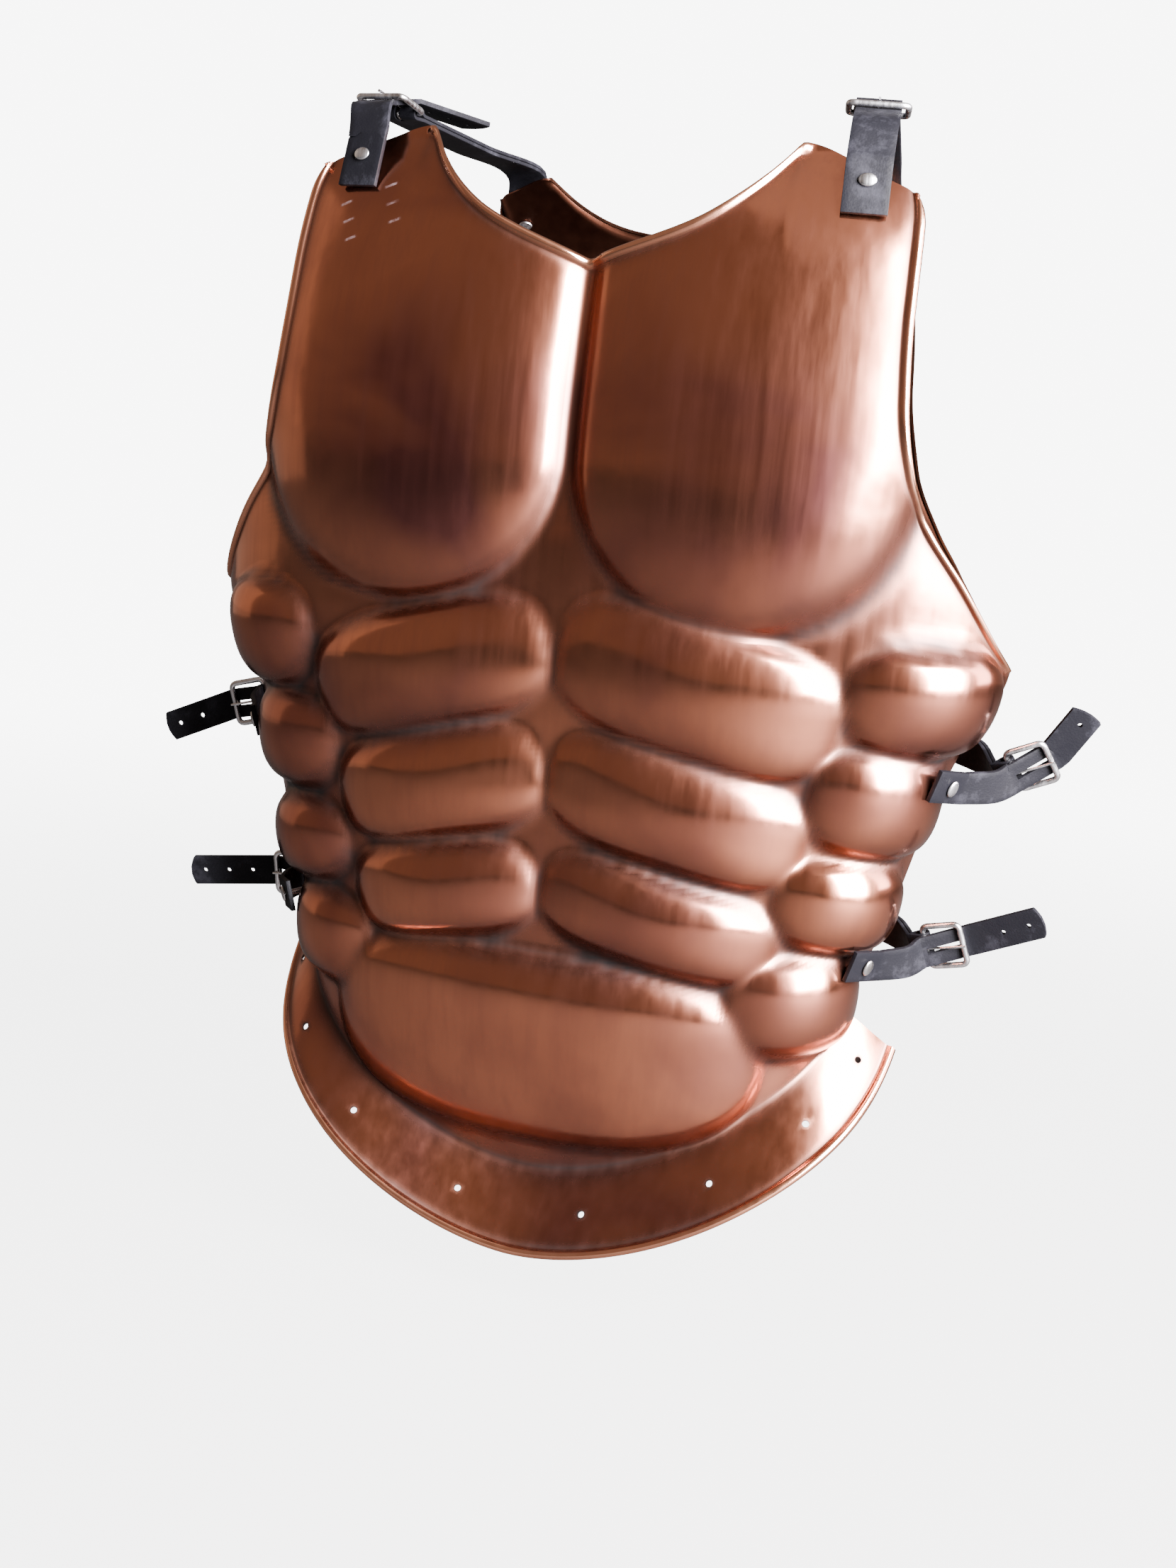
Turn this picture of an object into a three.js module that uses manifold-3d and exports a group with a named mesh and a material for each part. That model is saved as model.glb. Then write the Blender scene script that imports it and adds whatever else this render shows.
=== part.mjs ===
// A muscle cuirass: a breastplate and a backplate hammered from copper-bronze sheet, joined by two
// leather shoulder straps and four leather side straps, each with a buckle, a prong and a short
// looped strap that holds the buckle. Millimetres, +Z up. The breastplate faces -Y, and the origin
// lies midway between the two shoulder straps, at the height where they sit on the wearer.

import * as THREE from 'three';
import Module from 'manifold-3d';

const wasm = await Module();
wasm.setup();

// Driving dimensions of the two plates.
const plateHeight = 567;        // shoulder seat down to the lowest edge of the breastplate
const chestWidth = 440;         // breastplate across the chest
const closeInside = 18;         // how far the backplate closes inside the breastplate at each side
const backWidth = chestWidth - closeInside * 2;
const frontDepth = 93;          // side line forward to the breastbone
const backDepth = 138;          // side line back to the shoulder blades
const girthUnit = chestWidth * 0.568;  // along the sheet, from the centre line round to the side
const sectionPower = 2.4;       // roundness of the torso's sections
const sheet = 1.2;              // thickness of the sheet metal
const chestRise = 22;           // how far the chest muscles stand out
const muscleRise = 15;          // how far the other muscles stand out
const backRise = 9;             // how far the back muscles stand out
const rimRise = 2.4;            // height of the rolled edge over the sheet
const rimWidth = 5;             // width of the rolled edge
const flangeFlare = 27;         // how far the lower flange leans out
const flangeDrop = 41;          // height of the flange at the centre
const flangeEndDrop = 20;       // height of the flange at its cut ends
const flangeEndFlare = 20;      // how far the flange leans out at its cut ends
const flangeWrap = 14;          // how far its cut ends reach back past the side edge
const flangeLean = 6;           // how far its lower edge sits to the viewer's right
const flangeHoleRadius = 2.2;
const frontSideSetback = 12;    // side edge of the breastplate, forward of the side line
const backSideSetback = 24;     // side edge of the backplate, behind the side line
const frontArmpitSetback = 22;  // the same at the armpit
const backArmpitSetback = 28;

// Driving dimensions of the leather and its fittings.
const leather = 2.4;            // thickness of a strap
const loopLeather = 1.8;        // thickness of the strap that holds a buckle
const sideStrapWidth = 17;
const shoulderStrapWidth = 22;
const wireRadius = 1.6;         // wire of a buckle
const buckleLength = 18;        // heel bar to front bar
const buckleSlack = 1.6;        // strap edge to the buckle's side bar
const prongWidth = 2.4;
const prongThickness = 1.4;
const punchRadius = 1.7;        // holes along a strap
const punchPitch = 14;
const rivetShank = 1.5;
const rivetHead = 4.4;
const rivetDome = 2.0;
const washerRadius = 3.8;
const washerThickness = 1;
const gap = 0.3;                // clearance between pieces that touch
const through = 24;             // length of a hole's cutter
const leastEdge = 0.05;         // shorter edges that a cut leaves are closed up
const strapRun = 100;           // length of which the buckles' and tips' places are shares
const seatRun = 1.3;            // flat run over a rivet, as a share of the strap's width
const slotShare = 1.05;         // length of the prong's hole, as a share of the buckle's
const noseShare = 0.45;         // length of a strap's blunt point, as a share of its last stretch
const bluntShare = 0.25;        // width of that point, as a share of the strap's
const partingShare = 1.1;       // where a loop's layers part, in radii of its bend from the bar

// How finely the plates are divided.
const frontColumns = 24;
const backColumns = 16;
const roundSides = 6;
const punchSides = 5;
const rivetSides = 6;

const copper = { color: 0x9a5a3e, roughness: 0.32, metalness: 1 };
const blackLeather = { color: 0x17171a, roughness: 0.6, metalness: 0 };
const nickel = { color: 0xb9bcc0, roughness: 0.25, metalness: 1 };

// Sections of the torso. down is a share of plateHeight below the shoulder seat, wide a share of
// half the plate's width, and front and back are shares of frontDepth and backDepth.
const sections = [
  { down: 0.000, wide: 0.973, front: 0.753, back: 0.48 },
  { down: 0.035, wide: 0.975, front: 0.815, back: 0.70 },
  { down: 0.079, wide: 0.977, front: 0.882, back: 0.89 },
  { down: 0.168, wide: 0.982, front: 0.957, back: 0.97 },
  { down: 0.256, wide: 0.991, front: 1.000, back: 1.00 },
  { down: 0.344, wide: 1.000, front: 1.000, back: 0.99 },
  { down: 0.430, wide: 0.995, front: 0.978, back: 0.94 },
  { down: 0.503, wide: 0.909, front: 0.946, back: 0.87 },
  { down: 0.573, wide: 0.845, front: 0.903, back: 0.81 },
  { down: 0.653, wide: 0.786, front: 0.882, back: 0.76 },
  { down: 0.746, wide: 0.709, front: 0.839, back: 0.75 },
  { down: 0.802, wide: 0.682, front: 0.785, back: 0.78 },
  { down: 0.873, wide: 0.664, front: 0.710, back: 0.80 },
  { down: 0.944, wide: 0.645, front: 0.602, back: 0.80 },
  { down: 1.010, wide: 0.636, front: 0.538, back: 0.80 },
];

// Armhole edges. up is the share of the way from the armpit corner to the shoulder's outer corner,
// and wide is a share of half the plate's width.
const frontArmhole = [
  { up: 0.00, wide: 0.982 }, { up: 0.07, wide: 0.945 }, { up: 0.18, wide: 0.882 },
  { up: 0.29, wide: 0.805 }, { up: 0.40, wide: 0.746 }, { up: 0.55, wide: 0.714 },
  { up: 0.75, wide: 0.703 }, { up: 0.90, wide: 0.703 }, { up: 1.00, wide: 0.702 },
];
const backArmhole = [
  { up: 0.00, wide: 0.975 }, { up: 0.08, wide: 0.930 }, { up: 0.17, wide: 0.850 },
  { up: 0.28, wide: 0.730 }, { up: 0.42, wide: 0.640 }, { up: 0.62, wide: 0.600 },
  { up: 1.00, wide: 0.600 },
];

// Raised muscles of the breastplate, measured on the unrolled sheet. side is -1 for the viewer's
// left. at and reach are shares of girthUnit: the middle, from the centre line, and the half
// length. down and tall are shares of plateHeight: the middle, and the half height. tilt is the
// angle in degrees at which the outer end hangs.
const muscles = [
  { name: 'upper_abs', side: 1, at: 0.300, down: 0.471, reach: 0.284, tall: 0.060, tilt: -12 },
  { name: 'upper_abs', side: -1, at: 0.274, down: 0.480, reach: 0.276, tall: 0.054, tilt: -17 },
  { name: 'middle_abs', side: 1, at: 0.276, down: 0.581, reach: 0.264, tall: 0.051, tilt: -11 },
  { name: 'middle_abs', side: -1, at: 0.236, down: 0.584, reach: 0.240, tall: 0.050, tilt: -15 },
  { name: 'lower_abs', side: 1, at: 0.258, down: 0.681, reach: 0.244, tall: 0.043, tilt: -10 },
  { name: 'lower_abs', side: -1, at: 0.208, down: 0.681, reach: 0.212, tall: 0.044, tilt: -11 },
  { name: 'rib_one', side: 1, at: 0.760, down: 0.462, reach: 0.172, tall: 0.049, tilt: 4 },
  { name: 'rib_one', side: -1, at: 0.704, down: 0.471, reach: 0.144, tall: 0.049, tilt: 4 },
  { name: 'rib_two', side: 1, at: 0.688, down: 0.556, reach: 0.156, tall: 0.049, tilt: 0 },
  { name: 'rib_two', side: -1, at: 0.632, down: 0.568, reach: 0.148, tall: 0.046, tilt: 3 },
  { name: 'rib_three', side: 1, at: 0.640, down: 0.651, reach: 0.152, tall: 0.044, tilt: 0 },
  { name: 'rib_three', side: -1, at: 0.584, down: 0.661, reach: 0.140, tall: 0.041, tilt: 0 },
  { name: 'rib_four', side: 1, at: 0.568, down: 0.748, reach: 0.160, tall: 0.048, tilt: 8 },
  { name: 'rib_four', side: -1, at: 0.512, down: 0.750, reach: 0.140, tall: 0.046, tilt: 8 },
];
const chest = [
  { side: 1, at: 0.352, down: 0.282, reach: 0.336, below: 0.138, fade: 0.265 },
  { side: -1, at: 0.360, down: 0.282, reach: 0.348, below: 0.138, fade: 0.265 },
];
const belly = { at: 0.008, down: 0.794, reach: 0.488, above: 0.067, below: 0.118 };

// Lines across the plates, as shares of plateHeight below the shoulder seat: at the centre line
// and at the side edge. bend is the power by which the line leaves its centre height.
const frontLines = {
  crease: { centre: 0.940, side: 0.760, bend: 1.8 },
  navel: { centre: 0.716, side: 0.712, bend: 2 },
  rib: { centre: 0.404, side: 0.430, bend: 1.5 },
};
const backLines = {
  crease: { centre: 0.880, side: 0.771, bend: 1.8 },
  rib: { centre: 0.420, side: 0.438, bend: 1.5 },
};
// Upper edges: the neckline's middle and its end at the shoulder, and the shoulder's outer corner.
// wide is a share of half the plate's width. straight is the neckline's even part, the rest curls
// up by the power bend. neckShare is the share of the columns that the neckline takes.
const frontTop = {
  middleDown: 0.116, neckWide: 0.427, neckDown: 0.007, cornerDown: 0.044,
  straight: 0.47, bend: 4, neckShare: 0.6,
};
const backTop = {
  middleDown: 0.060, neckWide: 0.420, neckDown: 0.016, cornerDown: 0.034,
  straight: 0.04, bend: 4, neckShare: 0.667,
};

const radians = (degrees) => degrees * Math.PI / 180;
const mix = (a, b, share) => a + (b - a) * share;
const clamp = (value, low, high) => Math.min(Math.max(value, low), high);
const ease = (share) => { const t = clamp(share, 0, 1); return t * t * (3 - 2 * t); };
const vector = (x, y, z) => new THREE.Vector3(x, y, z);

// A point moved along pairs of a direction and a length.
const moved = (point, ...steps) => (
  steps.reduce((place, [direction, length]) => place.addScaledVector(direction, length), point.clone()));

// Reads a column of a table between its rows, on a smooth curve that never overshoots.
function read(table, key, value, at) {
  const last = table.length - 1;
  let i = table.findIndex((row) => row[key] > at) - 1;
  if (i < 0) i = at < table[0][key] ? 0 : last - 1;
  const step = (k) => table[k + 1][key] - table[k][key];
  const slope = (k) => (table[k + 1][value] - table[k][value]) / step(k);
  const tangent = (k) => {
    if (k === 0) return slope(0);
    if (k === last) return slope(last - 1);
    const before = slope(k - 1);
    const after = slope(k);
    return before * after <= 0 ? 0 : 2 * before * after / (before + after);
  };
  const t = clamp((at - table[i][key]) / step(i), 0, 1);
  const lift = step(i) * (t * (1 - t) * (1 - t) * tangent(i) - t * t * (1 - t) * tangent(i + 1));
  return mix(table[i][value], table[i + 1][value], t * t * (3 - 2 * t)) + lift;
}

// One section of the smooth torso: its half width, its depth, and points round it by their
// distance from the centre line along the sheet.
class Section {
  constructor(plate, z) {
    const down = -z / plateHeight;
    this.plate = plate;
    this.z = z;
    this.halfWidth = plate.width / 2 * read(sections, 'down', 'wide', down);
    this.depth = plate.depth * read(sections, 'down', plate.depthColumn, down);
    this.angles = [0];
    this.girths = [0];
    const steps = 90;
    for (let i = 1; i <= steps; i++) {
      const angle = radians(100) * i / steps;
      const chord = this.atAngle(angle).distanceTo(this.atAngle(this.angles[i - 1]));
      this.angles.push(angle);
      this.girths.push(this.girths[i - 1] + chord);
    }
  }

  atAngle(angle) {
    const across = Math.abs(Math.sin(angle) / this.halfWidth) ** sectionPower;
    const along = Math.abs(Math.cos(angle) / this.depth) ** sectionPower;
    const radius = (across + along) ** (-1 / sectionPower);
    const y = radius * Math.cos(angle) * this.plate.facing;
    return new THREE.Vector3(radius * Math.sin(angle), y, this.z);
  }

  atGirth(girth) {
    const distance = Math.abs(girth);
    let i = this.girths.findIndex((g) => g > distance) - 1;
    if (i < 0) i = this.girths.length - 2;
    const share = (distance - this.girths[i]) / (this.girths[i + 1] - this.girths[i]);
    return this.atAngle(mix(this.angles[i], this.angles[i + 1], share) * Math.sign(girth || 1));
  }

  girthWhere(test) {
    const i = this.angles.findIndex((angle) => test(this.atAngle(angle)));
    if (i < 1) return this.girths[this.girths.length - 1];
    const before = this.atAngle(this.angles[i - 1]);
    const after = this.atAngle(this.angles[i]);
    return mix(this.girths[i - 1], this.girths[i], test.share(before, after));
  }

  girthAtWidth(x) {
    const test = (point) => point.x > x;
    test.share = (before, after) => (x - before.x) / (after.x - before.x);
    return this.girthWhere(test);
  }

  girthAtSetback(y) {
    const test = (point) => Math.abs(point.y) < y || point.y * this.plate.facing < 0;
    test.share = (before, after) => (Math.abs(before.y) - y) / (Math.abs(before.y - after.y));
    return this.girthWhere(test);
  }
}

// A rounded hump: 1 in its middle, 0 on its outline, where share is 1.
const hump = (share, shoulder, power) => Math.max(0, 1 - share ** shoulder) ** power;

function frontRelief(girth, z) {
  let height = 0;
  for (const m of muscles) {
    const along = girth * m.side - m.at * girthUnit;
    const up = z + m.down * plateHeight;
    const turn = radians(m.tilt);
    const u = Math.abs(along * Math.cos(turn) + up * Math.sin(turn)) / (m.reach * girthUnit);
    const v = Math.abs(up * Math.cos(turn) - along * Math.sin(turn)) / (m.tall * plateHeight);
    height = Math.max(height, muscleRise * hump((u ** 2.6 + v ** 2.6) ** (1 / 2.6), 2.4, 0.55));
  }
  for (const c of chest) {
    const along = girth * c.side - c.at * girthUnit;
    const up = z + c.down * plateHeight;
    const opening = along > 0 ? 1 + 1.4 * ease(up / (0.08 * plateHeight) + 0.35) : 1;
    const u = Math.abs(along) / (c.reach * girthUnit * opening);
    const v = Math.max(0, -up) / (c.below * plateHeight);
    const faded = 1 - clamp(up / (c.fade * plateHeight), 0, 1) ** 4;
    height = Math.max(height, chestRise * faded * hump(Math.hypot(u, v), 2.5, 0.7));
  }
  const up = z + belly.down * plateHeight;
  const u = Math.abs(girth - belly.at * girthUnit) / (belly.reach * girthUnit);
  const v = Math.abs(up) / (plateHeight * (up > 0 ? belly.above : belly.below));
  return Math.max(height, muscleRise * hump((u ** 2.6 + v ** 2.6) ** (1 / 2.6), 2.4, 0.6));
}

// Two shoulder blades and two long muscles beside the spine.
function backRelief(girth, z) {
  const down = -z / plateHeight;
  const across = Math.abs(girth) / girthUnit;
  const blade = hump(Math.hypot((across - 0.42) / 0.34, (down - 0.27) / 0.17), 2.2, 0.8);
  const loin = hump(Math.hypot((across - 0.17) / 0.15, (down - 0.62) / 0.30), 2.2, 0.8);
  return backRise * Math.max(blade, loin);
}

const front = {
  name: 'breastplate', facing: -1, width: chestWidth, depth: frontDepth, depthColumn: 'front',
  setback: frontSideSetback, armpitSetback: frontArmpitSetback, columns: frontColumns,
  lines: frontLines, top: frontTop, armhole: frontArmhole, relief: frontRelief,
  rows: { flange: 2, belly: 7, ribs: 12, chest: 10 },
};
const back = {
  name: 'backplate', facing: 1, width: backWidth, depth: backDepth, depthColumn: 'back',
  setback: backSideSetback, armpitSetback: backArmpitSetback, columns: backColumns,
  lines: backLines, top: backTop, armhole: backArmhole, relief: backRelief,
  rows: { flange: 1, ribs: 7, chest: 8 },
};

// The side edge's distance from the centre line along the sheet, at a height.
function edgeGirth(plate, z) {
  const armpit = -plate.lines.rib.side * plateHeight;
  const waist = -plate.lines.crease.side * plateHeight;
  const setback = mix(plate.setback, plate.armpitSetback, ease((z - waist) / (armpit - waist)));
  return new Section(plate, z).girthAtSetback(setback);
}

// A line across the plate: u runs from 0 at the centre to 1 at the side edge.
function across(plate, line, u) {
  const z = -plateHeight * mix(line.centre, line.side, u ** line.bend);
  const edge = edgeGirth(plate, -plateHeight * line.side);
  return { girth: u * edge, z };
}

function topEdge(plate, u) {
  const { middleDown, neckWide, neckDown, cornerDown, straight, bend, neckShare } = plate.top;
  const half = plate.width / 2;
  const cornerWide = plate.armhole[plate.armhole.length - 1].wide;
  let x = 0;
  let down = 0;
  if (u <= neckShare) {
    const t = u / neckShare;
    x = t * neckWide * half;
    down = mix(middleDown, neckDown, straight * t + (1 - straight) * t ** bend);
  } else {
    const t = (u - neckShare) / (1 - neckShare);
    x = mix(neckWide, cornerWide, t) * half;
    down = mix(neckDown, cornerDown, ease(t));
  }
  const z = -down * plateHeight;
  return { girth: new Section(plate, z).girthAtWidth(x), z };
}

function armholeEdge(plate, up) {
  const z = -plateHeight * mix(plate.lines.rib.side, plate.top.cornerDown, up);
  const section = new Section(plate, z);
  const wide = read(plate.armhole, 'up', 'wide', up);
  if (up === 0) return { girth: edgeGirth(plate, z), z };
  return { girth: section.girthAtWidth(wide * plate.width / 2), z };
}

// The chest above the rib line, blended between its three edges and the centre line.
function chestPoint(plate, u, up) {
  const low = across(plate, plate.lines.rib, u);
  const high = topEdge(plate, u);
  const side = armholeEdge(plate, up);
  const lowEnd = across(plate, plate.lines.rib, 1);
  const highEnd = topEdge(plate, 1);
  const blend = (key) => mix(low[key], high[key], up)
    + u * (side[key] - mix(lowEnd[key], highEnd[key], up));
  return { girth: blend('girth'), z: blend('z') };
}

// Where the sheet lies for a place on it, with its muscles raised square to the smooth torso.
function raised(plate, place, side) {
  const girth = place.girth * side;
  const point = new Section(plate, place.z).atGirth(girth);
  const step = 1;
  const beside = new Section(plate, place.z).atGirth(girth + step);
  const above = new Section(plate, place.z + step).atGirth(girth);
  const normal = beside.sub(point).cross(above.sub(point)).normalize();
  normal.multiplyScalar(-plate.facing);
  return point.addScaledVector(normal, plate.relief(girth, place.z));
}

function flangePoint(plate, u, side, share) {
  const place = across(plate, plate.lines.crease, u);
  const section = new Section(plate, place.z);
  const point = section.atGirth(place.girth * side);
  const beside = section.atGirth(place.girth * side + 1).sub(point);
  const out = new THREE.Vector3(beside.y, -beside.x, 0).normalize().multiplyScalar(-plate.facing);
  point.addScaledVector(out, mix(flangeFlare, flangeEndFlare, u ** 6) * share);
  point.z -= mix(flangeDrop, flangeEndDrop, u ** 4) * share;
  if (plate.facing < 0) {
    point.x += flangeLean * share;
    point.y += flangeWrap * u ** 6 * share;
  }
  return point;
}

// The grid of points that a plate's outer face is drawn through, from the flange's edge upwards.
function plateGrid(plate) {
  const grid = [];
  const half = plate.columns / 2;
  const row = (make) => {
    const line = [];
    for (let i = -half; i <= half; i++) line.push(make(Math.abs(i) / half, i < 0 ? -1 : 1));
    grid.push(line);
  };
  const { flange, belly: bellyRows, ribs, chest: chestRows } = plate.rows;
  for (let j = 0; j < flange; j++) row((u, side) => flangePoint(plate, u, side, 1 - j / flange));
  const between = (low, high, rows) => {
    for (let j = 0; j < rows; j++) {
      row((u, side) => {
        const share = j / rows;
        const z = mix(across(plate, low, u).z, across(plate, high, u).z, share);
        const sideZ = mix(across(plate, low, 1).z, across(plate, high, 1).z, share);
        return raised(plate, { girth: u * edgeGirth(plate, sideZ), z }, side);
      });
    }
  };
  const { crease, navel, rib } = plate.lines;
  if (navel) between(crease, navel, bellyRows);
  between(navel ?? crease, rib, ribs);
  for (let j = 0; j <= chestRows; j++) {
    row((u, side) => raised(plate, chestPoint(plate, u, j / chestRows), side));
  }
  return grid;
}

// Turns a grid into a closed sheet: an outer face, an inner face a sheet's thickness behind it,
// and a border of three strips, which stands up as a rolled edge where rolled says so.
function sheetSolid(plate, grid) {
  const rows = grid.length;
  const columns = grid[0].length;
  const points = [];
  const faces = [];
  const add = (point) => points.push(point.x, point.y, point.z) / 3 - 1;
  const at = (j, i) => grid[clamp(j, 0, rows - 1)][clamp(i, 0, columns - 1)];
  const normal = (j, i) => {
    const sideways = at(j, i + 1).clone().sub(at(j, i - 1));
    const upwards = at(j + 1, i).clone().sub(at(j - 1, i));
    return sideways.cross(upwards).normalize().multiplyScalar(-plate.facing);
  };
  const isEdge = (j, i) => j === 0 || i === 0 || j === rows - 1 || i === columns - 1;
  const inwards = (j, i) => {
    const next = at(clamp(j, 1, rows - 2), clamp(i, 1, columns - 2));
    return next.clone().sub(at(j, i)).normalize();
  };
  const outer = grid.map((line, j) => line.map((point, i) => {
    if (!isEdge(j, i)) return add(point);
    return add(point.clone().addScaledVector(inwards(j, i), rimWidth));
  }));
  const inner = grid.map((line, j) => line.map((point, i) => (
    add(point.clone().addScaledVector(normal(j, i), -sheet)))));

  const quad = (a, b, c, d) => {
    if (plate.facing < 0) faces.push(a, b, c, a, c, d);
    else faces.push(a, c, b, a, d, c);
  };
  for (let j = 0; j < rows - 1; j++) {
    for (let i = 0; i < columns - 1; i++) {
      quad(outer[j][i], outer[j][i + 1], outer[j + 1][i + 1], outer[j + 1][i]);
      quad(inner[j][i], inner[j + 1][i], inner[j + 1][i + 1], inner[j][i + 1]);
    }
  }

  const loop = [];
  for (let i = 0; i < columns - 1; i++) loop.push([0, i]);
  for (let j = 0; j < rows - 1; j++) loop.push([j, columns - 1]);
  for (let i = columns - 1; i > 0; i--) loop.push([rows - 1, i]);
  for (let j = rows - 1; j > 0; j--) loop.push([j, 0]);
  const chestStart = rows - 1 - plate.rows.chest;
  const neckEnd = plate.columns / 2 * plate.top.neckShare;
  const rolled = (j, i) => {
    if (j === 0) return true;
    const fromMiddle = Math.abs(i - plate.columns / 2);
    return j === rows - 1 ? fromMiddle <= neckEnd : j > chestStart;
  };
  const strips = loop.map(([j, i]) => {
    const rise = rolled(j, i) ? rimRise : 0;
    const crown = (inset, lift) => add(at(j, i).clone()
      .addScaledVector(inwards(j, i), rimWidth * inset).addScaledVector(normal(j, i), lift));
    return [outer[j][i], crown(0.8, rise), crown(0.1, rise), inner[j][i]];
  });
  strips.forEach((strip, k) => {
    const next = strips[(k + 1) % strips.length];
    for (let n = 0; n < 3; n++) quad(strip[n + 1], next[n + 1], next[n], strip[n]);
  });
  return meshData(points, faces);
}

function meshData(points, faces) {
  const geometry = new THREE.BufferGeometry();
  geometry.setAttribute('position', new THREE.Float32BufferAttribute(points, 3));
  geometry.setIndex(faces);
  return geometry;
}

// Joins the vertices of a three.js shape and hands it to manifold-3d.
function toSolid(geometry) {
  const seen = new Map();
  const vertices = [];
  const position = geometry.attributes.position;
  const renamed = [];
  for (let i = 0; i < position.count; i++) {
    const place = [position.getX(i), position.getY(i), position.getZ(i)];
    const key = place.map((value) => Math.round(value * 1e4)).join();
    if (!seen.has(key)) {
      seen.set(key, vertices.length / 3);
      vertices.push(...place);
    }
    renamed.push(seen.get(key));
  }
  const index = geometry.index ? Array.from(geometry.index.array) : renamed.map((_, i) => i);
  const triangles = [];
  for (let i = 0; i < index.length; i += 3) {
    const corner = [renamed[index[i]], renamed[index[i + 1]], renamed[index[i + 2]]];
    if (new Set(corner).size === 3) triangles.push(...corner);
  }
  return new wasm.Manifold(new wasm.Mesh({
    numProp: 3, vertProperties: new Float32Array(vertices), triVerts: new Uint32Array(triangles),
  }));
}

function fromSolid(solid) {
  const mesh = solid.getMesh();
  return meshData(Array.from(mesh.vertProperties), Array.from(mesh.triVerts));
}

// A round cutter or a box cutter, centred at a point, its length along a direction.
function drill(point, direction, radius, length, sides = roundSides) {
  const geometry = new THREE.CylinderGeometry(radius, radius, length, sides);
  const turn = new THREE.Quaternion().setFromUnitVectors(new THREE.Vector3(0, 1, 0), direction);
  return geometry.applyQuaternion(turn).translate(point.x, point.y, point.z);
}

function slotCutter(point, axes, size) {
  const basis = new THREE.Matrix4().makeBasis(...axes);
  const geometry = new THREE.BoxGeometry(...size).applyMatrix4(basis);
  return geometry.translate(point.x, point.y, point.z);
}

function cut(geometry, cutters) {
  const whole = toSolid(geometry);
  const left = cutters.reduce((solid, cutter) => solid.subtract(toSolid(cutter)), whole);
  return left.asOriginal().simplify(leastEdge);
}

const grids = { front: plateGrid(front), back: plateGrid(back) };
const shells = {
  front: sheetSolid(front, grids.front),
  back: sheetSolid(back, grids.back),
};
const shellMeshes = Object.fromEntries(Object.entries(shells).map(([key, geometry]) => (
  [key, new THREE.Mesh(geometry, new THREE.MeshBasicMaterial({ side: THREE.DoubleSide }))])));

// The furthest a shell stands up from a plane over a small patch of it, seen from the plane's
// upper side where sense is 1, and the deepest it goes, seen from below, where sense is -1.
function heightSeen(shell, centre, { along, wide, up }, [length, width], sense) {
  const reach = 40;
  const samples = 7;
  let height = -reach;
  for (let i = 0; i < samples; i++) {
    for (let j = 0; j < samples; j++) {
      const start = moved(centre, [along, (i / (samples - 1) - 0.5) * length],
        [wide, (j / (samples - 1) - 0.5) * width], [up, reach * sense]);
      const ray = new THREE.Raycaster(start, up.clone().multiplyScalar(-sense));
      const hit = ray.intersectObject(shell)[0];
      if (hit) height = Math.max(height, reach - hit.distance);
    }
  }
  return height * sense;
}

// The place on a plate where leather is riveted: its centre, level with the sheet's highest point
// under the leather, its axes, and how deep the sheet lies behind the rivet's washer.
function seat(plate, shell, spot, towards, patch) {
  const z = -spot.down * plateHeight;
  const girth = spot.at * girthUnit * spot.side;
  const point = new Section(plate, z).atGirth(girth);
  const beside = new Section(plate, z).atGirth(girth + 1);
  const above = new Section(plate, z + 1).atGirth(girth);
  const up = beside.sub(point).cross(above.sub(point)).normalize().multiplyScalar(-plate.facing);
  const along = towards.clone().addScaledVector(up, -towards.dot(up)).normalize();
  const axes = { along, wide: up.clone().cross(along).normalize(), up };
  const centre = moved(point, [up, heightSeen(shell, point, axes, patch, 1)]);
  const washer = [rivetHead * 2, rivetHead * 2];
  return { ...axes, centre, behind: heightSeen(shell, centre, axes, washer, -1) };
}

// A flat band of leather swept along a path, square at its start. wide gives the direction of its
// width at each point. Where it is pointed, its end narrows to a blunt point.
function band(path, wide, width, thickness, pointed = false) {
  const points = [];
  const faces = [];
  const last = path.length - 1;
  path.forEach((point, i) => {
    const before = path[Math.max(i - 1, 0)];
    const after = path[Math.min(i + 1, last)];
    const along = after.clone().sub(before).normalize();
    const side = moved(wide[i], [along, -wide[i].dot(along)]).normalize();
    const face = along.clone().cross(side);
    const half = width / 2 * (pointed && i === last ? bluntShare : 1);
    for (const [s, t] of [[-1, -1], [1, -1], [1, 1], [-1, 1]]) {
      points.push(...moved(point, [side, s * half], [face, t * thickness / 2]).toArray());
    }
  });
  for (let i = 0; i < last; i++) {
    for (let k = 0; k < 4; k++) {
      const a = i * 4 + k;
      const b = i * 4 + (k + 1) % 4;
      faces.push(a, b, b + 4, a, b + 4, a + 4);
    }
  }
  faces.push(0, 2, 1, 0, 3, 2);
  const end = last * 4;
  faces.push(end, end + 1, end + 2, end, end + 2, end + 3);
  return meshData(points, faces);
}

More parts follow.
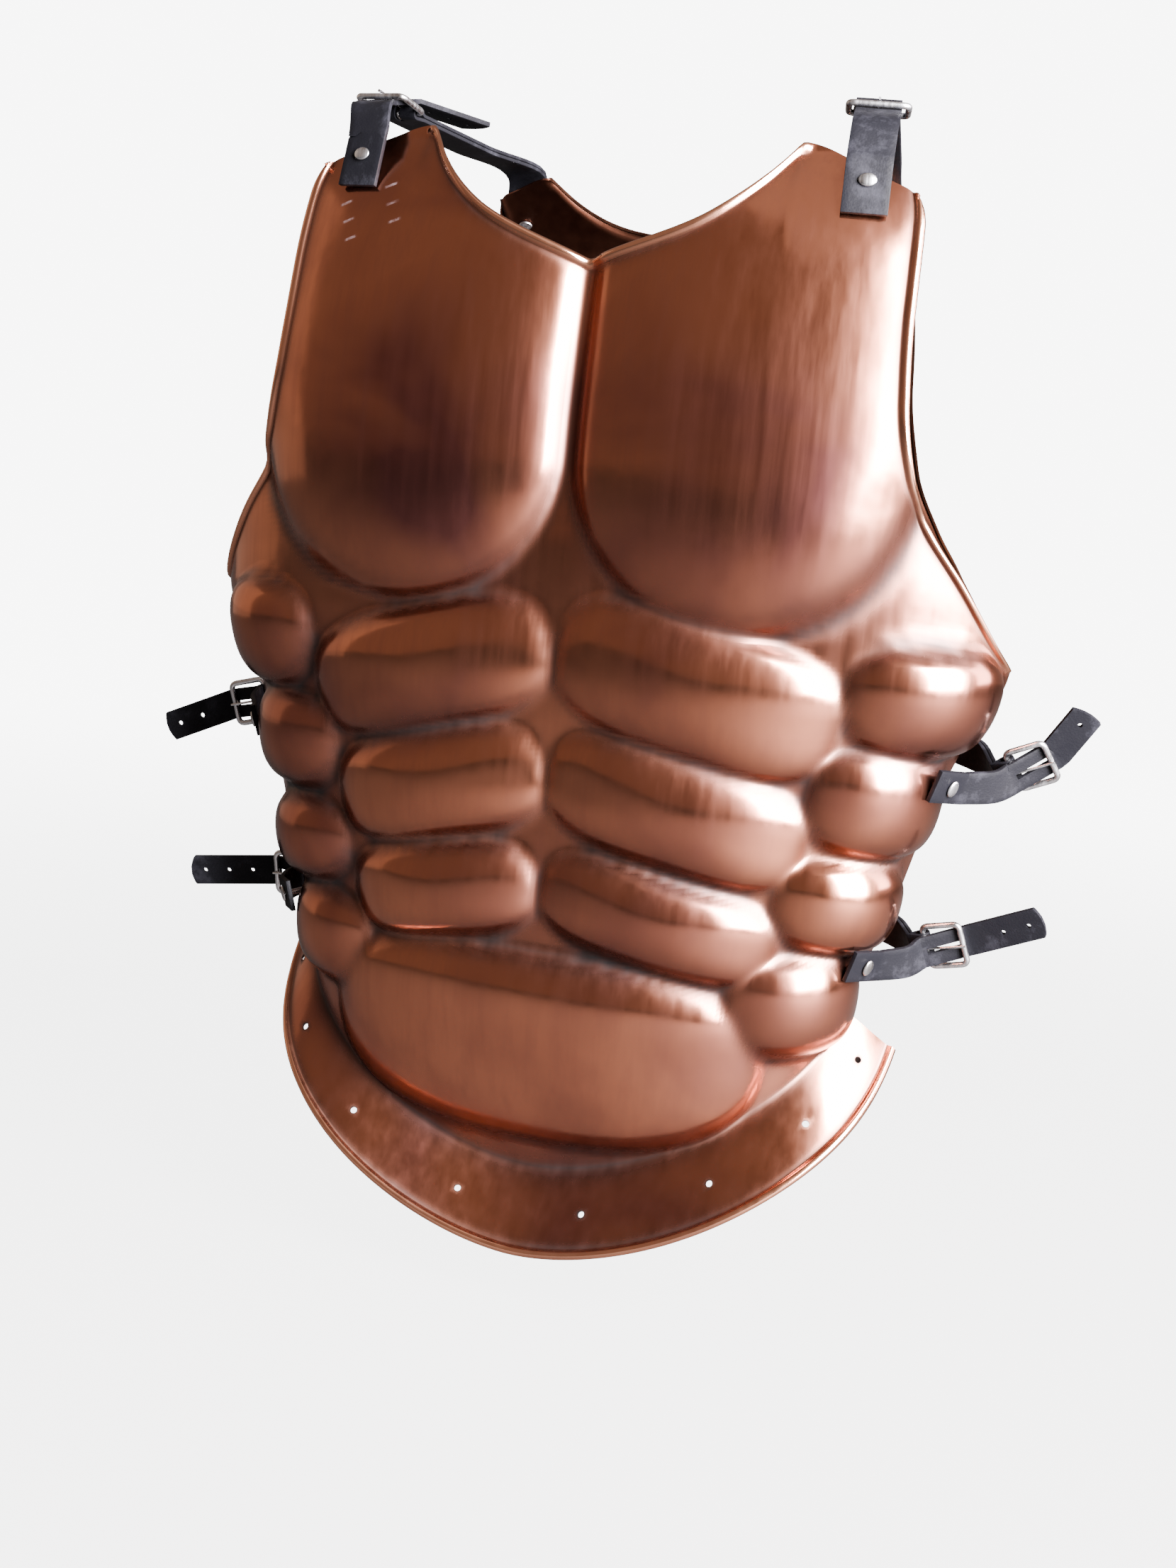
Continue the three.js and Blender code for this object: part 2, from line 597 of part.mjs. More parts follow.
// Wire bent round a path of points, closed on itself.
function wireLoop(path, up) {
  const points = [];
  const faces = [];
  const count = path.length;
  path.forEach((point, i) => {
    const along = path[(i + 1) % count].clone().sub(path[(i + count - 1) % count]).normalize();
    const out = along.clone().cross(up).normalize();
    for (let k = 0; k < roundSides; k++) {
      const angle = 2 * Math.PI * (k + 0.5) / roundSides;
      const rim = moved(point, [out, wireRadius * Math.cos(angle)], [up, wireRadius * Math.sin(angle)]);
      points.push(...rim.toArray());
    }
  });
  for (let i = 0; i < count; i++) {
    for (let k = 0; k < roundSides; k++) {
      const a = i * roundSides + k;
      const b = i * roundSides + (k + 1) % roundSides;
      const c = (i + 1) % count * roundSides + k;
      const d = (i + 1) % count * roundSides + (k + 1) % roundSides;
      faces.push(a, d, b, a, c, d);
    }
  }
  return meshData(points, faces);
}

// A domed rivet through the leather and the sheet at a seat: a flat washer behind the sheet, a
// shank, and a domed head over leather of the given thickness.
function rivet({ centre, up, behind }, thickness) {
  const low = behind - gap;
  const high = thickness + gap * 3;
  const profile = [
    [0, low - washerThickness], [washerRadius, low - washerThickness], [washerRadius, low],
    [rivetShank, low], [rivetShank, high], [rivetHead, high],
    [rivetHead * 0.75, high + rivetDome * 0.75], [0, high + rivetDome],
  ].map(([x, y]) => new THREE.Vector2(x, y));
  const geometry = new THREE.LatheGeometry(profile, rivetSides);
  const turn = new THREE.Quaternion().setFromUnitVectors(new THREE.Vector3(0, 1, 0), up);
  return toSolid(geometry.applyQuaternion(turn).translate(...centre.toArray()));
}

// Evenly spaced points on a smooth curve through a few.
const smooth = (points, count) => (
  new THREE.CatmullRomCurve3(points, false, 'centripetal').getSpacedPoints(count));

// A direction for each point of a path, turning from the first to the last.
const turning = (from, to, count) => Array.from({ length: count }, (_, i) => (
  from.clone().lerp(to, i / (count - 1)).normalize()));

// The straps. front and back say where the long strap and the buckle's loop are riveted, in the
// same shares as the muscles. buckle is the strap's middle inside the buckle and tip its free end,
// from the seat of the rivet on the breastplate, in shares of strapRun: out, back, and up.
const straps = [
  { name: 'shoulder_strap_left', side: -1, width: shoulderStrapWidth, upright: true,
    front: { at: 0.500, down: 0.044 }, back: { at: 0.430, down: 0.056 },
    buckle: [0.05, 0.35, 0.32], tip: [-0.19, 0.94, 0.31] },
  { name: 'shoulder_strap_right', side: 1, width: shoulderStrapWidth, upright: true,
    front: { at: 0.510, down: 0.044 }, back: { at: 0.430, down: 0.056 },
    buckle: [-0.07, 0.38, 0.4], tip: [-0.2, 0.9, 0.46] },
  { name: 'upper_side_strap_left', side: -1, width: sideStrapWidth, upright: false,
    front: { at: 0.800, down: 0.560 }, back: { at: 0.780, down: 0.545 },
    buckle: [0.28, 0.41, 0.02], tip: [0.75, 0.37, -0.18] },
  { name: 'upper_side_strap_right', side: 1, width: sideStrapWidth, upright: false,
    front: { at: 0.800, down: 0.527 }, back: { at: 0.780, down: 0.510 },
    buckle: [0.36, 0.31, 0.11], tip: [0.59, 0.29, 0.4] },
  { name: 'lower_side_strap_left', side: -1, width: sideStrapWidth, upright: false,
    front: { at: 0.640, down: 0.722 }, back: { at: 0.600, down: 0.720 },
    buckle: [0.18, 0.38, 0.02], tip: [0.76, 0.32, -0.04] },
  { name: 'lower_side_strap_right', side: 1, width: sideStrapWidth, upright: false,
    front: { at: 0.680, down: 0.700 }, back: { at: 0.600, down: 0.690 },
    buckle: [0.35, 0.33, 0.09], tip: [0.81, 0.29, 0.3] },
];

const holes = { front: [], back: [] };
const pieces = [];
const addPiece = (name, solid, look) => pieces.push({ name, solid, look });

// The loop that holds a buckle is bent round its heel bar in even steps, clear of the wire.
const bendSteps = [-110, -55, 0, 55, 110];
const loopRadius = (wireRadius + gap + loopLeather / 2) / Math.cos(radians(55 / 2));
const doubled = loopLeather * 2 + gap;

// The places and directions that a strap's pieces share. The buckle's frame leans, from its heel
// bar under the strap to its front bar over it, and points outward or, on a shoulder, forward.
function layOut({ side, width, upright, front: frontSpot, back: backSpot, buckle, tip: tipAt }) {
  const flat = width * seatRun;
  const patch = [flat * 1.2, width];
  const leaving = upright ? vector(0, 0, 1) : vector(side * 0.3, 1, 0);
  const arriving = upright ? vector(0, 0, 1) : vector(side * 0.3, -1, 0);
  const home = seat(front, shellMeshes.front, { ...frontSpot, side }, leaving, patch);
  const anchor = seat(back, shellMeshes.back, { ...backSpot, side }, arriving, patch);
  const offset = ([out, behind, above]) => (
    moved(home.centre, [vector(side * out, behind, above), strapRun]));
  const inBuckle = offset(buckle);
  const tip = offset(tipAt);
  const middle = moved(home.centre, [home.up, gap + leather / 2]);
  const lift = moved(middle, [home.along, flat * 0.4]);
  const outward = tip.clone().sub(lift).normalize();
  const up = outward.clone().cross(home.wide).normalize();
  const wide = up.clone().cross(outward);
  const pointing = outward.clone().multiplyScalar(upright ? -1 : 1);
  const heelDepth = leather / 2 + gap + loopLeather / 2 + loopRadius;
  const heel = moved(inBuckle, [pointing, -buckleLength / 2], [up, -heelDepth]);
  const head = moved(inBuckle, [pointing, buckleLength / 2], [up, leather / 2 + gap + wireRadius]);
  const reach = head.clone().sub(heel);
  const lean = reach.clone().normalize();
  const frameUp = wide.clone().cross(lean).multiplyScalar(upright ? 1 : -1);
  return { flat, width, upright, home, anchor, inBuckle, tip, middle, lift, outward, up, wide,
    heel, head, reach, lean, frameUp };
}

function strapSolid({ flat, width, home, inBuckle, tip, middle, lift, outward, up, wide }) {
  const straight = buckleLength / 2 + wireRadius * 2;
  const start = moved(middle, [home.along, -flat * 0.55]);
  const before = moved(inBuckle, [outward, -straight]);
  const after = moved(inBuckle, [outward, straight]);
  const easing = moved(lift.clone().lerp(before, 0.5), [home.up, leather], [home.along, leather * 2]);
  const lead = smooth([lift, easing, before], 4);
  const tail = smooth([after, after.clone().lerp(tip, 0.5), tip], 3);
  const nose = tip.clone().lerp(tail[tail.length - 2], -noseShare);
  const path = [start, middle, ...lead, inBuckle, ...tail, nose];
  const widths = [home.wide, home.wide, ...turning(home.wide, wide, lead.length), wide,
    ...tail.map(() => wide), wide];

  const cutters = [drill(home.centre, home.up, rivetShank + gap, through)];
  const tailAlong = tip.clone().sub(after).normalize();
  const tailFace = tailAlong.clone().cross(wide).normalize();
  const punchCount = Math.floor(after.distanceTo(tip) / punchPitch);
  for (let n = 0; n < punchCount; n++) {
    const place = moved(tip, [tailAlong, -punchPitch * (n + 0.4)]);
    cutters.push(drill(place, tailFace, punchRadius, leather * 6, punchSides));
  }
  cutters.push(slotCutter(inBuckle, [outward, wide, up],
    [buckleLength * slotShare, prongWidth + gap * 2, leather * 3]));
  return cut(band(path, widths, width, leather, true), cutters);
}

function buckleSolid({ width, wide, heel, reach, frameUp }) {
  const half = width / 2 + buckleSlack + wireRadius;
  const corner = wireRadius * 2;
  const halfOutline = [[half, 0], [half, 0.55], [half - corner * 0.2, 0.9], [half - corner, 1]];
  const mirrored = halfOutline.map(([sideways, share]) => [-sideways, share]);
  const path = [...mirrored, ...halfOutline.slice().reverse()]
    .map(([sideways, share]) => moved(heel, [wide, sideways], [reach, share]));
  return toSolid(wireLoop(path, frameUp));
}

function prongSolid({ wide, heel, head, lean, frameUp }) {
  const curl = wireRadius + gap + prongThickness / 2;
  const eye = [-160, -110, -60, -10, 40, 90].map((degrees) => {
    const angle = radians(degrees);
    return moved(heel, [lean, -curl * Math.cos(angle)], [frameUp, curl * Math.sin(angle)]);
  });
  const rest = moved(head, [frameUp, curl]);
  const path = [...eye, eye[eye.length - 1].clone().lerp(rest, 0.5), rest,
    moved(rest, [lean, wireRadius])];
  return toSolid(band(path, path.map(() => wide), prongWidth, prongThickness));
}

// The doubled loop runs from its rivet, over the plate's edge on a shoulder, to the heel bar. Its
// two layers are pressed into one up to there, and part to pass round the bar, with a slot for the
// prong's eye. Its side view is an outer and an inner outline, each drawn out across its width.
function loopSolid({ flat, width, upright, anchor, wide, heel, lean }) {
  const stack = moved(anchor.centre, [anchor.up, gap + doubled / 2]);
  const leaving = moved(stack, [anchor.along, flat * 0.4]);
  const overEdge = moved(stack, [anchor.along, flat], [anchor.up, leather]);
  const beside = moved(stack, [anchor.along, flat * 0.5], [anchor.up, leather * 1.6]);
  const end = moved(heel, [lean, -loopRadius * 2.2]);
  const spine = upright
    ? [leaving, overEdge, overEdge.clone().lerp(end, 0.5), end]
    : smooth([leaving, beside.lerp(heel, 0.5), end], 3);
  const path = [moved(stack, [anchor.along, -flat * 0.45]), stack, ...spine];
  const anchorWide = anchor.wide.clone().multiplyScalar(Math.sign(anchor.wide.dot(wide)));
  const widths = [anchorWide, anchorWide, ...turning(anchorWide, wide, spine.length)];
  const normal = lean.clone().cross(wide).normalize();

  const points = [];
  const pair = (point, across) => {
    for (const sign of [-1, 1]) points.push(...moved(point, [across, sign * width / 2]).toArray());
    return points.length / 3 - 2;
  };
  const face = (sign) => path.map((point, i) => {
    const next = path[Math.min(i + 1, path.length - 1)];
    const square = next.clone().sub(path[Math.max(i - 1, 0)]).cross(widths[i]).normalize();
    return pair(moved(point, [square, sign * doubled / 2]), widths[i]);
  });
  const bend = (radius) => bendSteps.map((degrees) => {
    const angle = radians(degrees);
    return pair(moved(heel, [lean, radius * Math.cos(angle)], [normal, radius * Math.sin(angle)]), wide);
  });
  const [under, over] = [face(-1), face(1)];
  const [outer, inner] = [bend(loopRadius + loopLeather / 2), bend(loopRadius - loopLeather / 2)];
  const parting = pair(moved(heel, [lean, -loopRadius * partingShare]), wide);

  const faces = [];
  const drawOut = (outline) => outline.forEach((a, i) => {
    const b = outline[(i + 1) % outline.length];
    faces.push(a, b + 1, b, a, a + 1, b + 1);
  });
  drawOut([...under, ...outer, ...over.slice().reverse()]);
  drawOut([...inner, parting].reverse());
  const side = (...corners) => {
    for (let i = 1; i < corners.length - 1; i++) {
      const [a, b, c] = [corners[0], corners[i], corners[i + 1]];
      faces.push(a, b, c, a + 1, c + 1, b + 1);
    }
  };
  for (let i = 0; i < path.length - 1; i++) side(under[i], under[i + 1], over[i + 1], over[i]);
  for (let i = 0; i < bendSteps.length - 1; i++) side(outer[i], outer[i + 1], inner[i + 1], inner[i]);
  const last = path.length - 1;
  const far = bendSteps.length - 1;
  side(under[last], outer[0], inner[0], parting, over[last]);
  side(over[last], parting, inner[far], outer[far]);
  return cut(meshData(points, faces), [
    drill(anchor.centre, anchor.up, rivetShank + gap, through),
    slotCutter(moved(heel, [lean, loopRadius * 0.7]), [lean, wide, normal],
      [loopRadius * 3.8, prongWidth + gap * 3, loopRadius * 4]),
  ]);
}

for (const strap of straps) {
  const layout = layOut(strap);
  const { home, anchor } = layout;
  holes.front.push(drill(home.centre, home.up, rivetShank + gap, through));
  holes.back.push(drill(anchor.centre, anchor.up, rivetShank + gap, through));
  addPiece(strap.name, strapSolid(layout), blackLeather);
  addPiece(`${strap.name}_buckle`, buckleSolid(layout), nickel);
  addPiece(`${strap.name}_prong`, prongSolid(layout), nickel);
  addPiece(`${strap.name}_buckle_loop`, loopSolid(layout), blackLeather);
  addPiece(`${strap.name}_front_rivet`, rivet(home, leather), nickel);
  addPiece(`${strap.name}_back_rivet`, rivet(anchor, doubled), nickel);
}

// Lacing holes along the flange, as shares of the way round to its cut end.
function flangeHoles(plate) {
  const cutters = [];
  for (const side of [-1, 1]) {
    for (const u of [0.19, 0.54, 0.78, 0.94]) {
      const low = flangePoint(plate, u, side, 0.72);
      const high = flangePoint(plate, u, side, 0.3);
      const beside = flangePoint(plate, u - 0.02, side, 0.5).sub(flangePoint(plate, u, side, 0.5));
      const face = beside.cross(high.clone().sub(low)).normalize();
      cutters.push(drill(low.clone().lerp(high, 0.5), face, flangeHoleRadius, through / 2));
    }
  }
  return cutters;
}
addPiece(front.name, cut(shells.front, [...holes.front, ...flangeHoles(front)]), copper);
addPiece(back.name, cut(shells.back, [...holes.back, ...flangeHoles(back)]), copper);

const cuirass = new THREE.Group();
for (const { name, solid, look } of pieces) {
  const geometry = fromSolid(solid);
  geometry.computeVertexNormals();
  const mesh = new THREE.Mesh(geometry, new THREE.MeshStandardMaterial(look));
  mesh.name = name;
  cuirass.add(mesh);
}

export default cuirass;
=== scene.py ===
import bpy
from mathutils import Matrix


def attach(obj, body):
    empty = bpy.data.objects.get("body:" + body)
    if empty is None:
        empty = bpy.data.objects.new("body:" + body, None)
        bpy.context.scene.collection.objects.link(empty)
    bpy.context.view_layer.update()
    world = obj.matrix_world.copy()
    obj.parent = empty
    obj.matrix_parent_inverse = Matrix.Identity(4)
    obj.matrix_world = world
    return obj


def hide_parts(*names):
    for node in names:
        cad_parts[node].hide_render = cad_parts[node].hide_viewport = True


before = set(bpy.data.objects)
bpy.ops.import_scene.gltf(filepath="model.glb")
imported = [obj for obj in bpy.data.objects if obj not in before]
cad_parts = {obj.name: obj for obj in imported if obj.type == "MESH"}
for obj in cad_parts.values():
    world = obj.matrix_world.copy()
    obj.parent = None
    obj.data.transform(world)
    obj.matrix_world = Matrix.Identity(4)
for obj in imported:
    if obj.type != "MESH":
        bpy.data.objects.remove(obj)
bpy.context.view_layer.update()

import math

import bpy
import numpy as np
from mathutils import Matrix, Vector
from mathutils.bvhtree import BVHTree

# The camera stands to the viewer's right of the breastplate and a little above it, slightly
# rolled. Pixels are those of the photograph's frame.
mm = 0.001
photo_width = 1659
photo_height = 2212
focal_pixels = 3000
long_side_sensor = 36
camera_azimuth = math.radians(18.7)
camera_elevation = math.radians(10.0)
camera_roll = math.radians(5.4)
camera_distance = 1.108
camera_aim = Vector((0, -0.050, -0.345))
aim_pixel = (792.5, 1152)

away = Vector((math.sin(camera_azimuth) * math.cos(camera_elevation),
               -math.cos(camera_azimuth) * math.cos(camera_elevation),
               math.sin(camera_elevation)))
level = Vector((math.cos(camera_azimuth), math.sin(camera_azimuth), 0))
camera_right = level * math.cos(camera_roll) + away.cross(level) * math.sin(camera_roll)
camera_up = away.cross(camera_right)
bpy.ops.object.camera_add()
camera = bpy.context.object
camera.matrix_world = Matrix.Translation(camera_aim + away * camera_distance) @ Matrix(
    (camera_right, camera_up, away)).transposed().to_4x4()
camera.data.lens = long_side_sensor * focal_pixels / photo_height
camera.data.shift_x = (photo_width / 2 - aim_pixel[0]) / photo_height
camera.data.shift_y = (aim_pixel[1] - photo_height / 2) / photo_height
bpy.context.scene.camera = camera

# The studio: a pale floor under the cuirass, a tall window to the viewer's right with a smaller one
# beyond it, and weak lights above and far to the left. The backdrop is white, and the room and the
# floor that the metal mirrors are dim.
floor_height = -0.60
floor_size = 14
floor_near, floor_far = 0.5, 2.2
floor_glow = 0.09
room_colour = (0.34, 0.26, 0.22, 1)
room_strength = 0.95
backdrop_strength = 8.0
lights = [
    {"name": "window", "azimuth": 61, "elevation": 23, "distance": 1.5, "size": (0.85, 1.3),
     "power": 900, "colour": (1.0, 0.96, 1.0)},
    {"name": "side window", "azimuth": 104, "elevation": 22, "distance": 1.6, "size": (0.6, 1.0),
     "power": 50, "colour": (1.0, 0.88, 0.94)},
    {"name": "ceiling", "azimuth": 40, "elevation": 70, "distance": 1.9, "size": (1.6, 1.6),
     "power": 4, "colour": (1.0, 0.93, 0.90)},
    {"name": "fill", "azimuth": -95, "elevation": 16, "distance": 2.4, "size": (2.0, 2.0),
     "power": 5, "colour": (1.0, 0.78, 0.60)},
]


def add_node(tree, kind, inputs=None, **settings):
    """A shader node with its settings made and its inputs set or linked."""
    made = tree.nodes.new(kind)
    for key, value in settings.items():
        setattr(made, key, value)
    for key, value in (inputs or {}).items():
        if isinstance(value, bpy.types.NodeSocket):
            tree.links.new(value, made.inputs[key])
        else:
            made.inputs[key].default_value = value
    return made


def shelled_material(name):
    """An empty material's node tree, its Principled BSDF, and the material."""
    material = bpy.data.materials.new(name)
    material.use_nodes = True
    return material.node_tree, material.node_tree.nodes["Principled BSDF"], material


for light in lights:
    azimuth, elevation = math.radians(light["azimuth"]), math.radians(light["elevation"])
    toward = Vector((math.sin(azimuth) * math.cos(elevation),
                     -math.cos(azimuth) * math.cos(elevation), math.sin(elevation)))
    bpy.ops.object.light_add(type="AREA", location=camera_aim + toward * light["distance"])
    lamp = bpy.context.object
    lamp.name = light["name"]
    lamp.rotation_euler = toward.to_track_quat("Z", "Y").to_euler()
    lamp.data.shape = "RECTANGLE"
    lamp.data.size, lamp.data.size_y = light["size"]
    lamp.data.energy = light["power"]
    lamp.data.color = light["colour"]

world = bpy.data.worlds.new("studio")
world.use_nodes = True
bpy.context.scene.world = world
sky = world.node_tree
dim = add_node(sky, "ShaderNodeBackground", {"Color": room_colour, "Strength": room_strength})
white = add_node(sky, "ShaderNodeBackground",
                 {"Color": (1, 1, 1, 1), "Strength": backdrop_strength})
seen = add_node(sky, "ShaderNodeLightPath")
both = add_node(sky, "ShaderNodeMixShader", {0: seen.outputs["Is Camera Ray"],
                                            1: dim.outputs[0], 2: white.outputs[0]})
sky.links.new(both.outputs[0], sky.nodes["World Output"].inputs["Surface"])

bpy.ops.mesh.primitive_plane_add(size=floor_size, location=(0, 0, floor_height))
floor = bpy.context.object
floor.name = "floor"
# What the camera sees of the floor whitens into the backdrop with distance; the metal mirrors a
# faint glow.
floor_tree, floor_shader, floor_material = shelled_material("pale_floor")
spot = add_node(floor_tree, "ShaderNodeTexCoord").outputs["Object"]
distance = add_node(floor_tree, "ShaderNodeVectorMath", {0: spot}, operation="LENGTH").outputs["Value"]
whitened = add_node(floor_tree, "ShaderNodeMapRange",
                    {"Value": distance, "From Min": floor_near, "From Max": floor_far,
                     "To Min": backdrop_strength * 0.62, "To Max": backdrop_strength},
                    interpolation_type="SMOOTHSTEP").outputs[0]
by_camera = add_node(floor_tree, "ShaderNodeLightPath").outputs["Is Camera Ray"]
strength = add_node(floor_tree, "ShaderNodeMath", {0: whitened, 1: by_camera},
                    operation="MULTIPLY").outputs[0]
strength = add_node(floor_tree, "ShaderNodeMath", {0: strength, 1: floor_glow},
                    operation="MAXIMUM").outputs[0]
floor_shader.inputs["Base Color"].default_value = (0.012, 0.010, 0.009, 1)
floor_shader.inputs["Roughness"].default_value = 0.8
floor_shader.inputs["Emission Color"].default_value = (1, 1, 1, 1)
floor_tree.links.new(strength, floor_shader.inputs["Emission Strength"])
floor.data.materials.append(floor_material)

# Breastplate: one copper-bronze sheet, 1.2 mm thick, hammered out from behind into a chest, two
# columns of stomach muscles with ribs beside them, and a belly. Its lower edge is flanged outward
# and drilled for lacing, and the neckline, armholes and flange end in a rolled edge.
plate_height = 567 * mm
chest_width = 440 * mm
front_depth = 93 * mm
girth_unit = 250 * mm
section_power = 2.4
sheet = 1.2 * mm
chest_rise = 21.5 * mm
muscle_rise = 15 * mm
bead_rise = 2.3 * mm
bead_width = 5.2 * mm
flange_flare = 27 * mm
flange_drop = 41 * mm
flange_end_drop = 20 * mm
flange_end_flare = 20 * mm
flange_wrap = 14 * mm
flange_lean = 6 * mm
flange_hole = 1.8 * mm
fine = 2.6 * mm
corner_share = 0.08
groove_least = 0.16
groove_full = 0.48
crease_shade_reach = 11 * mm
# How far from the crease the painted shade reaches.
crease_width = 2.6 * mm
relief_passes = 2
chest_profile = (2.2, 0.55)
muscle_profile = (2.05, 0.50)
belly_profile = (2.1, 0.52)
belly_squareness = 2.6
muscle_squareness = 3.1
rib_squareness = 2.5
muscle_crown = 0.35
chest_fade_power = 3.4
armpit_spread = 0.2
shade_strength = 0.30

# Sections of the torso: down is a share of plate_height, wide a share of half the plate's width,
# front and back shares of the plates' depths.
sections = [
    {"down": 0.000, "wide": 0.973, "front": 0.753, "back": 0.48},
    {"down": 0.035, "wide": 0.975, "front": 0.815, "back": 0.70},
    {"down": 0.079, "wide": 0.977, "front": 0.882, "back": 0.89},
    {"down": 0.168, "wide": 0.982, "front": 0.957, "back": 0.97},
    {"down": 0.256, "wide": 0.991, "front": 1.000, "back": 1.00},
    {"down": 0.344, "wide": 1.000, "front": 1.000, "back": 0.99},
    {"down": 0.430, "wide": 0.995, "front": 0.978, "back": 0.94},
    {"down": 0.503, "wide": 0.909, "front": 0.946, "back": 0.87},
    {"down": 0.573, "wide": 0.845, "front": 0.903, "back": 0.81},
    {"down": 0.653, "wide": 0.786, "front": 0.882, "back": 0.76},
    {"down": 0.746, "wide": 0.709, "front": 0.839, "back": 0.75},
    {"down": 0.802, "wide": 0.682, "front": 0.785, "back": 0.78},
    {"down": 0.873, "wide": 0.664, "front": 0.710, "back": 0.80},
    {"down": 0.944, "wide": 0.645, "front": 0.602, "back": 0.80},
    {"down": 1.010, "wide": 0.636, "front": 0.538, "back": 0.80},
]
# Muscles on the unrolled sheet: side is -1 for the viewer's left, at and reach are shares of
# girth_unit, down and tall of plate_height, and tilt is how the outer end hangs, in degrees.
muscles = [
    {"name": "upper_abs", "side": 1, "at": 0.300, "down": 0.471,
     "reach": 0.284, "tall": 0.060, "tilt": -12},
    {"name": "upper_abs", "side": -1, "at": 0.274, "down": 0.480,
     "reach": 0.276, "tall": 0.054, "tilt": -17},
    {"name": "middle_abs", "side": 1, "at": 0.276, "down": 0.581,
     "reach": 0.264, "tall": 0.051, "tilt": -11},
    {"name": "middle_abs", "side": -1, "at": 0.236, "down": 0.584,
     "reach": 0.240, "tall": 0.050, "tilt": -15},
    {"name": "lower_abs", "side": 1, "at": 0.258, "down": 0.681,
     "reach": 0.244, "tall": 0.043, "tilt": -10},
    {"name": "lower_abs", "side": -1, "at": 0.208, "down": 0.681,
     "reach": 0.212, "tall": 0.044, "tilt": -11},
    {"name": "rib_one", "side": 1, "at": 0.760, "down": 0.462,
     "reach": 0.172, "tall": 0.049, "tilt": 4},
    {"name": "rib_one", "side": -1, "at": 0.704, "down": 0.471,
     "reach": 0.144, "tall": 0.049, "tilt": 4},
    {"name": "rib_two", "side": 1, "at": 0.688, "down": 0.556,
     "reach": 0.156, "tall": 0.049, "tilt": 0},
    {"name": "rib_two", "side": -1, "at": 0.632, "down": 0.568,
     "reach": 0.148, "tall": 0.046, "tilt": 3},
    {"name": "rib_three", "side": 1, "at": 0.640, "down": 0.651,
     "reach": 0.152, "tall": 0.044, "tilt": 0},
    {"name": "rib_three", "side": -1, "at": 0.584, "down": 0.661,
     "reach": 0.140, "tall": 0.041, "tilt": 0},
    {"name": "rib_four", "side": 1, "at": 0.568, "down": 0.748,
     "reach": 0.160, "tall": 0.048, "tilt": 8},
    {"name": "rib_four", "side": -1, "at": 0.512, "down": 0.750,
     "reach": 0.140, "tall": 0.046, "tilt": 8},
]
chest = [
    {"side": 1, "at": 0.352, "down": 0.282, "reach": 0.336, "below": 0.138, "fade": 0.265},
    {"side": -1, "at": 0.360, "down": 0.282, "reach": 0.348, "below": 0.138, "fade": 0.265},
]
belly = {"at": 0.008, "down": 0.794, "reach": 0.488, "above": 0.067, "below": 0.118}
front_armhole = [
    {"up": 0.00, "wide": 0.982}, {"up": 0.07, "wide": 0.945}, {"up": 0.18, "wide": 0.882},
    {"up": 0.29, "wide": 0.805}, {"up": 0.40, "wide": 0.746}, {"up": 0.55, "wide": 0.714},
    {"up": 0.75, "wide": 0.703}, {"up": 0.90, "wide": 0.703}, {"up": 1.00, "wide": 0.702},
]


def mix(low, high, share):
    return low + (high - low) * share


def ease(share):
    share = np.clip(share, 0, 1)
    return share * share * (3 - 2 * share)


def read(table, key, value, places):
    """A table's column read between its rows, on a smooth curve that never overshoots."""
    at = np.array([row[key] for row in table], float)
    out = np.array([row[value] for row in table], float)
    step, slope = np.diff(at), np.diff(out) / np.diff(at)
    before, after = slope[:-1], slope[1:]
    with np.errstate(divide="ignore", invalid="ignore"):
        inner = np.where(before * after <= 0, 0, 2 * before * after / (before + after))
    tangent = np.concatenate([slope[:1], inner, slope[-1:]])
    i = np.clip(np.searchsorted(at, places, side="right") - 1, 0, len(step) - 1)
    t = np.clip((places - at[i]) / step[i], 0, 1)
    lift = step[i] * (t * (1 - t) ** 2 * tangent[i] - t * t * (1 - t) * tangent[i + 1])
    return mix(out[i], out[i + 1], t * t * (3 - 2 * t)) + lift


